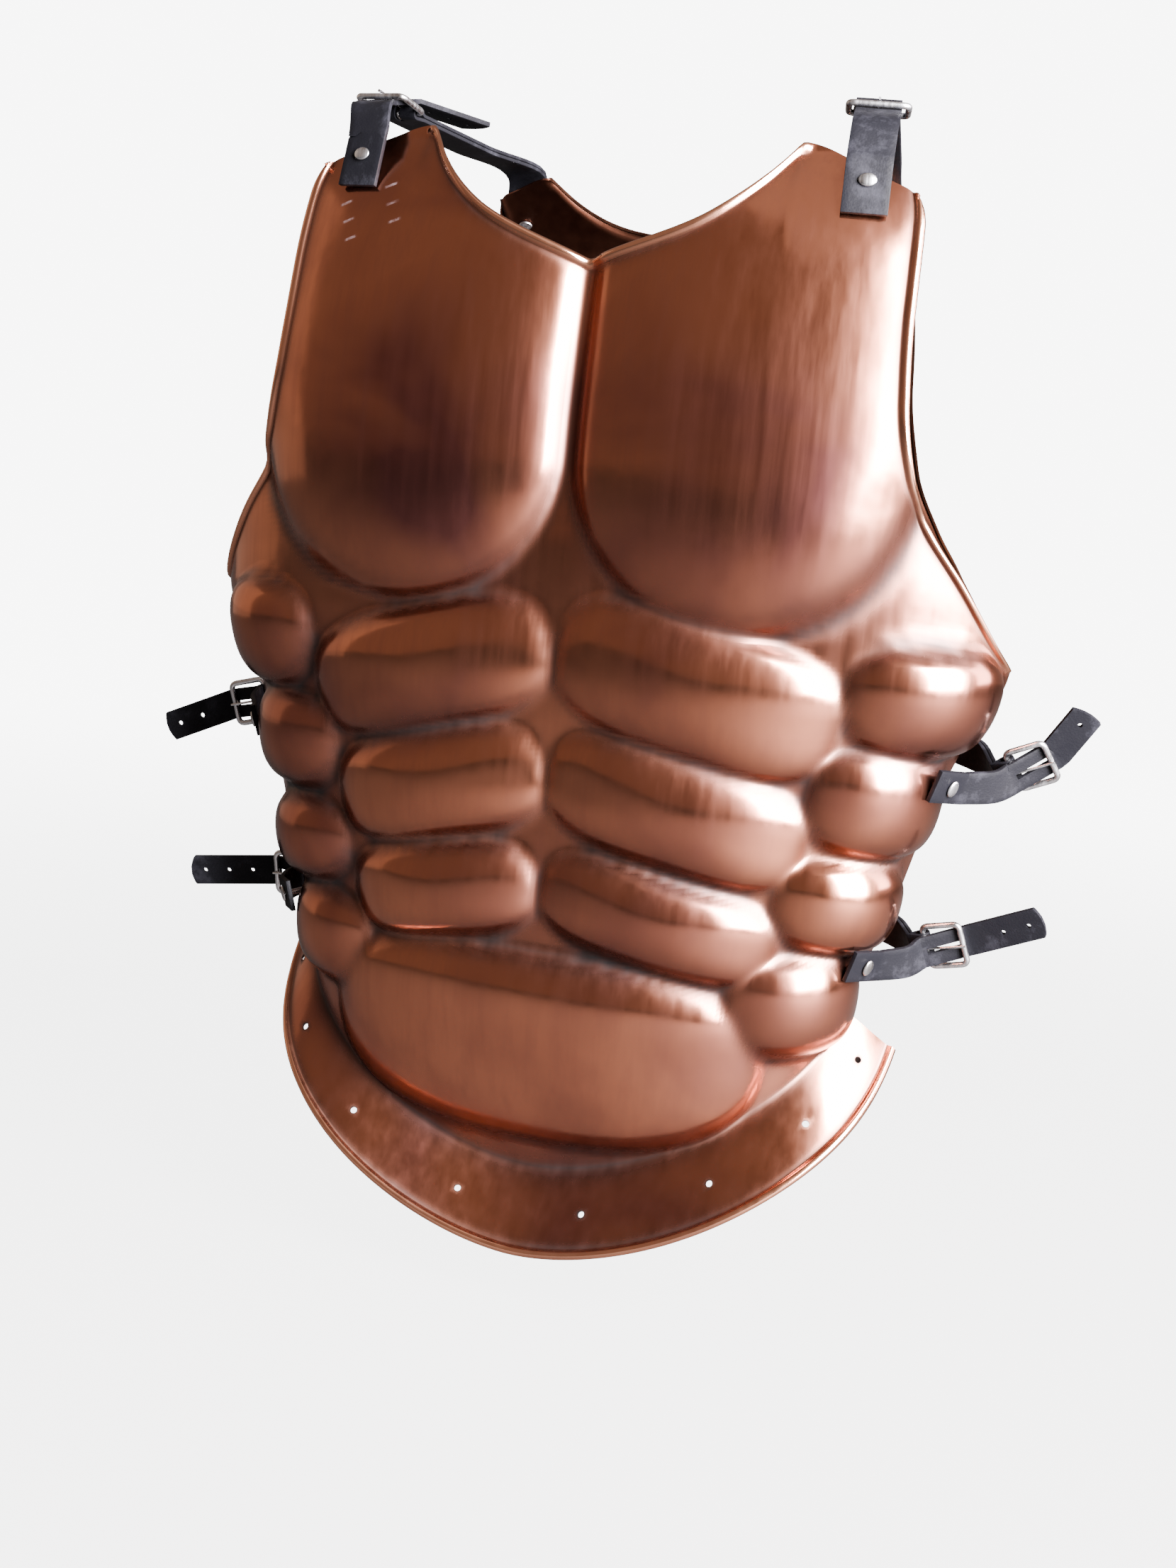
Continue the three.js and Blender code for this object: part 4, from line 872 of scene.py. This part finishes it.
# Leather: two shoulder straps and four side straps of black strap leather, cut square at the rivet
# and to a blunt point at the free end, punched with a row of holes. Each runs through a buckle.
leather = 2.4 * mm
loop_leather = 1.8 * mm
side_strap_width = 17 * mm
shoulder_strap_width = 22 * mm
wire = 1.6 * mm
buckle_length = 18 * mm
buckle_slack = 1.6 * mm
prong_width = 2.4 * mm
prong_thickness = 1.4 * mm
punch_radius = 1.3 * mm
punch_pitch = 14 * mm
rivet_shank = 1.5 * mm
rivet_head = 4.4 * mm
rivet_dome = 1.5 * mm
rivet_oval = 0.74
gap = 0.3 * mm
strap_run = 100 * mm
seat_run = 1.3
slot_share = 1.05
nose_share = 0.17
blunt_share = 0.25
straps = [
    {"name": "shoulder_strap_left", "side": -1, "width": shoulder_strap_width, "upright": True,
     "front": {"at": 0.500, "down": 0.044}, "back": {"at": 0.430, "down": 0.056},
     "buckle": (0.05, 0.35, 0.32), "tip": (-0.19, 0.94, 0.31)},
    {"name": "shoulder_strap_right", "side": 1, "width": shoulder_strap_width, "upright": True,
     "front": {"at": 0.510, "down": 0.044}, "back": {"at": 0.430, "down": 0.056},
     "buckle": (-0.07, 0.38, 0.40), "tip": (-0.20, 0.90, 0.46)},
    {"name": "upper_side_strap_left", "side": -1, "width": side_strap_width, "upright": False,
     "front": {"at": 0.800, "down": 0.560}, "back": {"at": 0.780, "down": 0.545},
     "buckle": (0.28, 0.41, 0.02), "tip": (0.75, 0.37, -0.18)},
    {"name": "upper_side_strap_right", "side": 1, "width": side_strap_width, "upright": False,
     "front": {"at": 0.800, "down": 0.527}, "back": {"at": 0.780, "down": 0.510},
     "buckle": (0.36, 0.31, 0.11), "tip": (0.59, 0.29, 0.40)},
    {"name": "lower_side_strap_left", "side": -1, "width": side_strap_width, "upright": False,
     "front": {"at": 0.640, "down": 0.722}, "back": {"at": 0.600, "down": 0.720},
     "buckle": (0.18, 0.38, 0.02), "tip": (0.76, 0.32, -0.04)},
    {"name": "lower_side_strap_right", "side": 1, "width": side_strap_width, "upright": False,
     "front": {"at": 0.680, "down": 0.700}, "back": {"at": 0.600, "down": 0.690},
     "buckle": (0.35, 0.33, 0.09), "tip": (0.81, 0.29, 0.30)},
]


def height_seen(key, centre, axes, patch, sense):
    """The furthest a plate stands up from a plane over a small patch of it, seen from the plane's
    upper side where sense is 1, and the deepest it goes, seen from below, where it is -1."""
    along, wide, up = axes
    reach = 40 * mm
    height = -reach
    for i in range(7):
        for j in range(7):
            start = (centre + along * ((i / 6 - 0.5) * patch[0]) + wide * ((j / 6 - 0.5) * patch[1])
                     + up * reach * sense)
            hit = hit_tests[key].ray_cast(start, up * -sense, reach * 2)
            if hit[0] is not None:
                height = max(height, reach - hit[3])
    return height * sense


def seat(key, spot, side, towards, patch):
    """Where leather is riveted to a plate: its centre, level with the sheet's highest point under
    the leather, its axes, and how deep the sheet lies behind the rivet's washer."""
    torso = plates[key]["torso"]
    z = np.array([-spot["down"] * plate_height])
    girth = np.array([spot["at"] * girth_unit * side])
    point, up = Vector(torso.point(girth, z)[0]), Vector(torso.normal(girth, z)[0])
    along = (towards - up * towards.dot(up)).normalized()
    wide = up.cross(along).normalized()
    axes = (along, wide, up)
    centre = point + up * height_seen(key, point, axes, patch, 1)
    washer = (rivet_head * 2, rivet_head * 2)
    return {"along": along, "wide": wide, "up": up, "centre": centre,
            "behind": height_seen(key, centre, axes, washer, -1)}


def smooth_curve(points, count):
    """Evenly spaced points on a smooth curve through a few."""
    ends = [points[0] * 2 - points[1]] + list(points) + [points[-1] * 2 - points[-2]]
    dense = []
    for a, b, c, d in zip(ends, ends[1:], ends[2:], ends[3:]):
        t1 = (b - a).length ** 0.5
        t2 = t1 + (c - b).length ** 0.5
        t3 = t2 + (d - c).length ** 0.5
        for n in range(24):
            t = mix(t1, t2, n / 24)
            ab, bc, cd = a.lerp(b, t / t1), b.lerp(c, (t - t1) / (t2 - t1)), c.lerp(d, (t - t2) / (t3 - t2))
            dense.append(ab.lerp(bc, t / t2).lerp(bc.lerp(cd, (t - t1) / (t3 - t1)), (t - t1) / (t2 - t1)))
    dense.append(points[-1])
    run = np.concatenate([[0], np.cumsum([(b - a).length for a, b in zip(dense, dense[1:])])])
    even = np.linspace(0, run[-1], count + 1)
    array = np.array(dense)
    return [Vector([np.interp(s, run, array[:, k]) for k in range(3)]) for s in even]


def turning(first, last, count):
    return [first.lerp(last, i / (count - 1)).normalized() for i in range(count)]


def ribbon(path, wide, widths, thickness, columns=6):
    """A strip of leather drawn along a path, with softly broken edges."""
    rows = len(path)
    places = []
    for i, point in enumerate(path):
        along = (path[min(i + 1, rows - 1)] - path[max(i - 1, 0)]).normalized()
        side = (wide[i] - along * wide[i].dot(along)).normalized()
        for k in range(columns + 1):
            places.append(point + side * ((k / columns - 0.5) * widths[i]))
    deselect()
    bpy.ops.mesh.primitive_grid_add(x_subdivisions=columns, y_subdivisions=rows - 1, size=1)
    piece = bpy.context.object
    piece.data.vertices.foreach_set("co", np.array(places).reshape(-1))
    piece.data.update()
    apply_modifier(piece, "SOLIDIFY", thickness=thickness, offset=0)
    apply_modifier(piece, "BEVEL", width=thickness * 0.18, segments=2, limit_method="ANGLE",
                   angle_limit=math.radians(50))
    return piece


def lay_out(strap):
    """The places and directions that a strap's pieces share, as in the frame: the buckle leans from
    its heel bar under the strap to its front bar over it."""
    side, width, upright = strap["side"], strap["width"], strap["upright"]
    flat = width * seat_run
    patch = (flat * 1.2, width)
    leaving = Vector((0, 0, 1)) if upright else Vector((side * 0.3, 1, 0))
    arriving = Vector((0, 0, 1)) if upright else Vector((side * 0.3, -1, 0))
    home = seat("front", strap["front"], side, leaving, patch)
    anchor = seat("back", strap["back"], side, arriving, patch)

    def offset(shares):
        out, behind, above = shares
        return home["centre"] + Vector((side * out, behind, above)) * strap_run

    in_buckle, tip = offset(strap["buckle"]), offset(strap["tip"])
    middle = home["centre"] + home["up"] * (gap + leather / 2)
    lift = middle + home["along"] * flat * 0.4
    outward = (tip - lift).normalized()
    up = outward.cross(home["wide"]).normalized()
    wide = up.cross(outward)
    pointing = outward * (-1 if upright else 1)
    loop_radius = (wire + gap + loop_leather / 2) / math.cos(math.radians(27.5))
    heel_depth = leather / 2 + gap + loop_leather / 2 + loop_radius
    heel = in_buckle - pointing * buckle_length / 2 - up * heel_depth
    head = in_buckle + pointing * buckle_length / 2 + up * (leather / 2 + gap + wire)
    reach = head - heel
    lean = reach.normalized()
    frame_up = wide.cross(lean) * (1 if upright else -1)
    return {"flat": flat, "width": width, "upright": upright, "home": home, "anchor": anchor,
            "in_buckle": in_buckle, "tip": tip, "middle": middle, "lift": lift, "outward": outward,
            "up": up, "wide": wide, "heel": heel, "head": head, "reach": reach, "lean": lean,
            "frame_up": frame_up, "loop_radius": loop_radius}


def strap_piece(at):
    home, width, outward, wide, up = at["home"], at["width"], at["outward"], at["wide"], at["up"]
    straight = buckle_length / 2 + wire * 2
    start = at["middle"] - home["along"] * at["flat"] * 0.55
    before, after = at["in_buckle"] - outward * straight, at["in_buckle"] + outward * straight
    easing = at["lift"].lerp(before, 0.5) + home["up"] * leather + home["along"] * leather * 2
    lead = smooth_curve([at["lift"], easing, before], 26)
    tail = smooth_curve([after, after.lerp(at["tip"], 0.5), at["tip"]], 26)
    nose_end = at["tip"] + (at["tip"] - after) * nose_share / 3
    flat_part = [start.lerp(at["lift"], s) for s in np.linspace(0, 1, 9)[:-1]]
    through = [before.lerp(after, s) for s in np.linspace(0, 1, 8)[1:-1]]
    nose = [at["tip"].lerp(nose_end, s) for s in np.linspace(0, 1, 7)[1:]]
    path = flat_part + lead + through + tail + nose
    wides = ([home["wide"]] * len(flat_part) + turning(home["wide"], wide, len(lead))
             + [wide] * (len(through) + len(tail) + len(nose)))
    narrowing = [width * mix(1, blunt_share, s ** 1.6) for s in np.linspace(0, 1, 7)[1:]]
    widths = [width] * (len(path) - len(nose)) + narrowing
    piece = ribbon(path, wides, widths, leather)

    cutters = [drill(home["centre"], home["up"], rivet_shank + gap, 24 * mm)]
    tail_along = (at["tip"] - after).normalized()
    face = tail_along.cross(wide).normalized()
    for n in range(int((at["tip"] - after).length / punch_pitch)):
        cutters.append(drill(at["tip"] - tail_along * punch_pitch * (n + 0.4), face, punch_radius,
                             leather * 6))
    deselect()
    bpy.ops.mesh.primitive_cube_add(size=1)
    slot = bpy.context.object
    slot.matrix_world = Matrix((outward, wide, up)).transposed().to_4x4()
    slot.matrix_world.translation = at["in_buckle"]
    slot.scale = (buckle_length * slot_share, prong_width + gap * 2, leather * 3)
    place_in_mesh(slot)
    cut_away(piece, cutters + [slot])
    return piece


def loop_piece(at):
    """The doubled loop runs from its rivet to the heel bar, round it and back."""
    anchor, width, flat = at["anchor"], at["width"], at["flat"]
    doubled = loop_leather * 2 + gap
    stack = anchor["centre"] + anchor["up"] * (gap + doubled / 2)
    leaving = stack + anchor["along"] * flat * 0.4
    end = at["heel"] - at["lean"] * at["loop_radius"] * 2.2
    if at["upright"]:
        over_edge = stack + anchor["along"] * flat + anchor["up"] * leather
        spine = smooth_curve([leaving, over_edge, over_edge.lerp(end, 0.5), end], 22)
    else:
        beside = stack + anchor["along"] * flat * 0.5 + anchor["up"] * leather * 1.6
        spine = smooth_curve([leaving, beside.lerp(at["heel"], 0.5), end], 22)
    first = stack - anchor["along"] * flat * 0.45
    path = [first.lerp(leaving, s) for s in np.linspace(0, 1, 6)[:-1]] + spine
    anchor_wide = anchor["wide"] * (1 if anchor["wide"].dot(at["wide"]) > 0 else -1)
    wides = [anchor_wide] * 5 + turning(anchor_wide, at["wide"], len(spine))

    def layer(sign):
        out = []
        for i, point in enumerate(path):
            along = path[min(i + 1, len(path) - 1)] - path[max(i - 1, 0)]
            out.append(point + along.cross(wides[i]).normalized() * sign * (loop_leather + gap) / 2)
        return out

    normal = at["lean"].cross(at["wide"]).normalized()
    bend = []
    for degrees in range(-110, 111, 10):
        angle = math.radians(degrees)
        bend.append(at["heel"] + (at["lean"] * math.cos(angle) + normal * math.sin(angle))
                    * (wire + gap + loop_leather / 2))
    around = layer(-1) + bend + layer(1)[::-1]
    piece = ribbon(around, wides + [at["wide"]] * len(bend) + wides[::-1], [width] * len(around),
                   loop_leather)
    deselect()
    bpy.ops.mesh.primitive_cube_add(size=1)
    slot = bpy.context.object
    slot.matrix_world = Matrix((at["lean"], at["wide"], normal)).transposed().to_4x4()
    slot.matrix_world.translation = at["heel"] + at["lean"] * at["loop_radius"] * 0.7
    slot.scale = (at["loop_radius"] * 3.8, prong_width + gap * 3, at["loop_radius"] * 4)
    place_in_mesh(slot)
    cut_away(piece, [drill(anchor["centre"], anchor["up"], rivet_shank + gap, 24 * mm), slot])
    return piece


# Creased hide: fine pores, longer creases and scuffed high spots.
hide, hide_in, hide_out = effect("hide", {"Grain Scale": 900.0, "Scuff Scale": 40.0},
                                 {"Grain": "Float", "Scuffs": "Float"})
hide_at = add_node(hide, "ShaderNodeTexCoord").outputs["Object"]
pores = add_node(hide, "ShaderNodeTexVoronoi",
                 {"Vector": hide_at, "Scale": hide_in.outputs["Grain Scale"]}).outputs["Distance"]
creases = noise(hide, hide_at, 160.0, 5, 0.65, warp=0.5)
hide.links.new(maths(hide, "ADD", maths(hide, "MULTIPLY", pores, 0.5), creases),
               hide_out.inputs["Grain"])
hide.links.new(noise(hide, hide_at, hide_in.outputs["Scuff Scale"], 6, 0.7), hide_out.inputs["Scuffs"])

tree, shader, leather_material = shelled_material("black_leather")
skin = add_node(tree, "ShaderNodeGroup", {"Grain Scale": 900.0, "Scuff Scale": 45.0}, node_tree=hide)
scuffed = spread(tree, skin.outputs["Scuffs"], 0.52, 0.75)
tree.links.new(tint(tree, scuffed, (0.0022, 0.0022, 0.0030), (0.011, 0.011, 0.014)),
               shader.inputs["Base Color"])
tree.links.new(spread(tree, skin.outputs["Scuffs"], 0.3, 0.7, 0.46, 0.64), shader.inputs["Roughness"])
shader.inputs["Specular IOR Level"].default_value = 0.07
leather_bump = add_node(tree, "ShaderNodeBump", {"Height": skin.outputs["Grain"], "Strength": 0.35,
                                                 "Distance": 0.0003})
tree.links.new(leather_bump.outputs[0], shader.inputs["Normal"])

layouts = {strap["name"]: lay_out(strap) for strap in straps}
for name, at in layouts.items():
    for piece, label in ((strap_piece(at), ""), (loop_piece(at), "_buckle_loop")):
        piece.data.materials.append(leather_material)
        active(piece)
        bpy.ops.object.shade_smooth_by_angle(angle=math.radians(35))
        rest_on(piece, name + label, name + label + "_leather")

# Buckles: bent steel wire, nickel plated and dulled: a rectangular frame with round corners, whose
# heel bar lies in the leather loop, and a prong curled round that bar and resting on the front bar.
tree, shader, nickel_material = shelled_material("dull_nickel")
marks = add_node(tree, "ShaderNodeGroup", {"Cloud Scale": 60.0, "Streak Scale": 500.0},
                 node_tree=tarnish)
dulled = spread(tree, marks.outputs["Clouds"], 0.40, 0.68)
tree.links.new(tint(tree, dulled, (0.62, 0.63, 0.65), (0.30, 0.29, 0.28)), shader.inputs["Base Color"])
tree.links.new(spread(tree, marks.outputs["Streaks"], 0.3, 0.7, 0.18, 0.36), shader.inputs["Roughness"])
shader.inputs["Metallic"].default_value = 1.0
nickel_bump = add_node(tree, "ShaderNodeBump", {"Height": marks.outputs["Pits"], "Strength": 0.15,
                                                "Distance": 0.0002})
tree.links.new(nickel_bump.outputs[0], shader.inputs["Normal"])


def bent_wire(path, radius, closed):
    """Round wire bent along a path, with its ends closed where it has any."""
    deselect()
    bpy.ops.curve.primitive_nurbs_path_add()
    curve = bpy.context.object
    curve.data.splines.clear()
    spline = curve.data.splines.new("POLY")
    spline.points.add(len(path) - 1)
    for point, place in zip(spline.points, path):
        point.co = (*place, 1)
    spline.use_cyclic_u = closed
    curve.data.dimensions = "3D"
    curve.data.bevel_depth = radius
    curve.data.bevel_resolution = 4
    curve.data.use_fill_caps = not closed
    curve.location = (0, 0, 0)
    active(curve)
    bpy.ops.object.convert(target="MESH")
    piece = bpy.context.object
    bpy.ops.object.mode_set(mode="EDIT")
    bpy.ops.mesh.select_all(action="SELECT")
    bpy.ops.mesh.remove_doubles(threshold=0.01 * mm)
    bpy.ops.mesh.normals_make_consistent(inside=False)
    bpy.ops.object.mode_set(mode="OBJECT")
    return piece


def rounded_loop(corners, radius, steps=7):
    """A closed path through corners, each one rounded."""
    path = []
    for i, corner in enumerate(corners):
        before = (corners[i - 1] - corner).normalized()
        after = (corners[(i + 1) % len(corners)] - corner).normalized()
        start, end = corner + before * radius, corner + after * radius
        for n in range(steps + 1):
            t = n / steps
            path.append(start.lerp(corner, t).lerp(corner.lerp(end, t), t))
    return path


for name, at in layouts.items():
    half = at["width"] / 2 + buckle_slack + wire
    corner = [at["heel"] - at["wide"] * half, at["heel"] + at["wide"] * half,
              at["heel"] + at["wide"] * half + at["reach"], at["heel"] - at["wide"] * half + at["reach"]]
    frame_wire = bent_wire(rounded_loop(corner, wire * 2.2), wire, True)
    curl = wire + gap + prong_thickness / 2
    eye = []
    for degrees in range(-160, 91, 14):
        angle = math.radians(degrees)
        eye.append(at["heel"] - at["lean"] * curl * math.cos(angle)
                   + at["frame_up"] * curl * math.sin(angle))
    rest = at["head"] + at["frame_up"] * curl
    shank = [eye[-1].lerp(rest, s) for s in np.linspace(0, 1, 8)[1:]]
    prong = bent_wire(eye + shank + [rest + at["lean"] * wire - at["frame_up"] * 0.2 * mm],
                      prong_thickness / 2, False)
    for piece, label in ((frame_wire, "_buckle"), (prong, "_prong")):
        piece.data.materials.append(nickel_material)
        active(piece)
        bpy.ops.object.shade_smooth_by_angle(angle=math.radians(60))
        rest_on(piece, name + label, name + label + "_wire")

# Rivets: nickelled oval heads domed by the setting punch, a shank through leather and sheet, and a
# washer behind.


def rivet(at_seat, thickness):
    low = at_seat["behind"] - gap
    high = thickness + gap * 3
    profile = [(0, low - 1 * mm), (3.5 * mm, low - 1 * mm), (3.8 * mm, low - 0.7 * mm), (3.8 * mm, low),
               (rivet_shank, low), (rivet_shank, high), (rivet_head * 0.9, high),
               (rivet_head, high + 0.25 * mm)]
    for degrees in range(10, 91, 10):
        angle = math.radians(degrees)
        profile.append((rivet_head * math.cos(angle) ** 0.9,
                        high + 0.25 * mm + (rivet_dome - 0.25 * mm) * math.sin(angle)))
    profile[-1] = (0, high + rivet_dome)
    deselect()
    bpy.ops.mesh.primitive_circle_add(vertices=len(profile), radius=1)
    piece = bpy.context.object
    piece.data.vertices.foreach_set("co", [v for x, z in profile for v in (x, 0, z)])
    bpy.ops.object.mode_set(mode="EDIT")
    bpy.ops.mesh.select_all(action="DESELECT")
    bpy.ops.object.mode_set(mode="OBJECT")
    closing = piece.data.edges[-1]
    for edge in piece.data.edges:
        if set(edge.vertices) == {0, len(profile) - 1}:
            closing = edge
    closing.select = True
    bpy.ops.object.mode_set(mode="EDIT")
    bpy.ops.mesh.select_mode(type="EDGE")
    bpy.ops.mesh.delete(type="EDGE_FACE")
    bpy.ops.mesh.select_all(action="SELECT")
    bpy.ops.mesh.spin(steps=28, angle=math.tau, center=(0, 0, 0), axis=(0, 0, 1))
    bpy.ops.mesh.select_all(action="SELECT")
    bpy.ops.mesh.remove_doubles(threshold=0.01 * mm)
    bpy.ops.mesh.normals_make_consistent(inside=False)
    bpy.ops.object.mode_set(mode="OBJECT")
    piece.matrix_world = Matrix((at_seat["wide"].cross(at_seat["up"]), at_seat["wide"],
                                 at_seat["up"])).transposed().to_4x4()
    piece.matrix_world.translation = at_seat["centre"]
    piece.scale = (rivet_oval, 1, 1)
    place_in_mesh(piece)
    return piece


for name, at in layouts.items():
    for key, label, thickness in (("home", "_front_rivet", leather),
                                  ("anchor", "_back_rivet", loop_leather * 2 + gap)):
        piece = rivet(at[key], thickness)
        piece.data.materials.append(nickel_material)
        active(piece)
        bpy.ops.object.shade_smooth_by_angle(angle=math.radians(40))
        rest_on(piece, name + label, name + label + "_head")

# The sheet is drilled last, once the rivets have their places.
for piece, plate, key, seat_key in ((breastplate, front, "front", "home"),
                                    (backplate, back, "back", "anchor")):
    cutters = flange_holes(plate) + [drill(at[seat_key]["centre"], at[seat_key]["up"],
                                           rivet_shank + gap, 24 * mm) for at in layouts.values()]
    centres = [sum((corner.co for corner in cutter.data.vertices), Vector()) / len(cutter.data.vertices)
               for cutter in cutters]
    cut_away(piece, cutters)
    places = np.empty(len(piece.data.vertices) * 3)
    piece.data.vertices.foreach_get("co", places)
    places = places.reshape(-1, 3)
    nearest = np.min([np.linalg.norm(places - np.array(centre), axis=1) for centre in centres], axis=0)
    # Round each hole the sheet is painted near black with the grooves' patina colour: painted shade, so
    # that the hole reads dark.
    hole_shade = np.clip((flange_hole * 2.1 - nearest) / (flange_hole * 1.0), 0, 1)
    groove = piece.data.attributes["groove"].data
    values = np.empty(len(places))
    groove.foreach_get("value", values)
    groove.foreach_set("value", np.maximum(values, hole_shade))
    active(piece)
    bpy.ops.object.shade_smooth_by_angle(angle=math.radians(60))
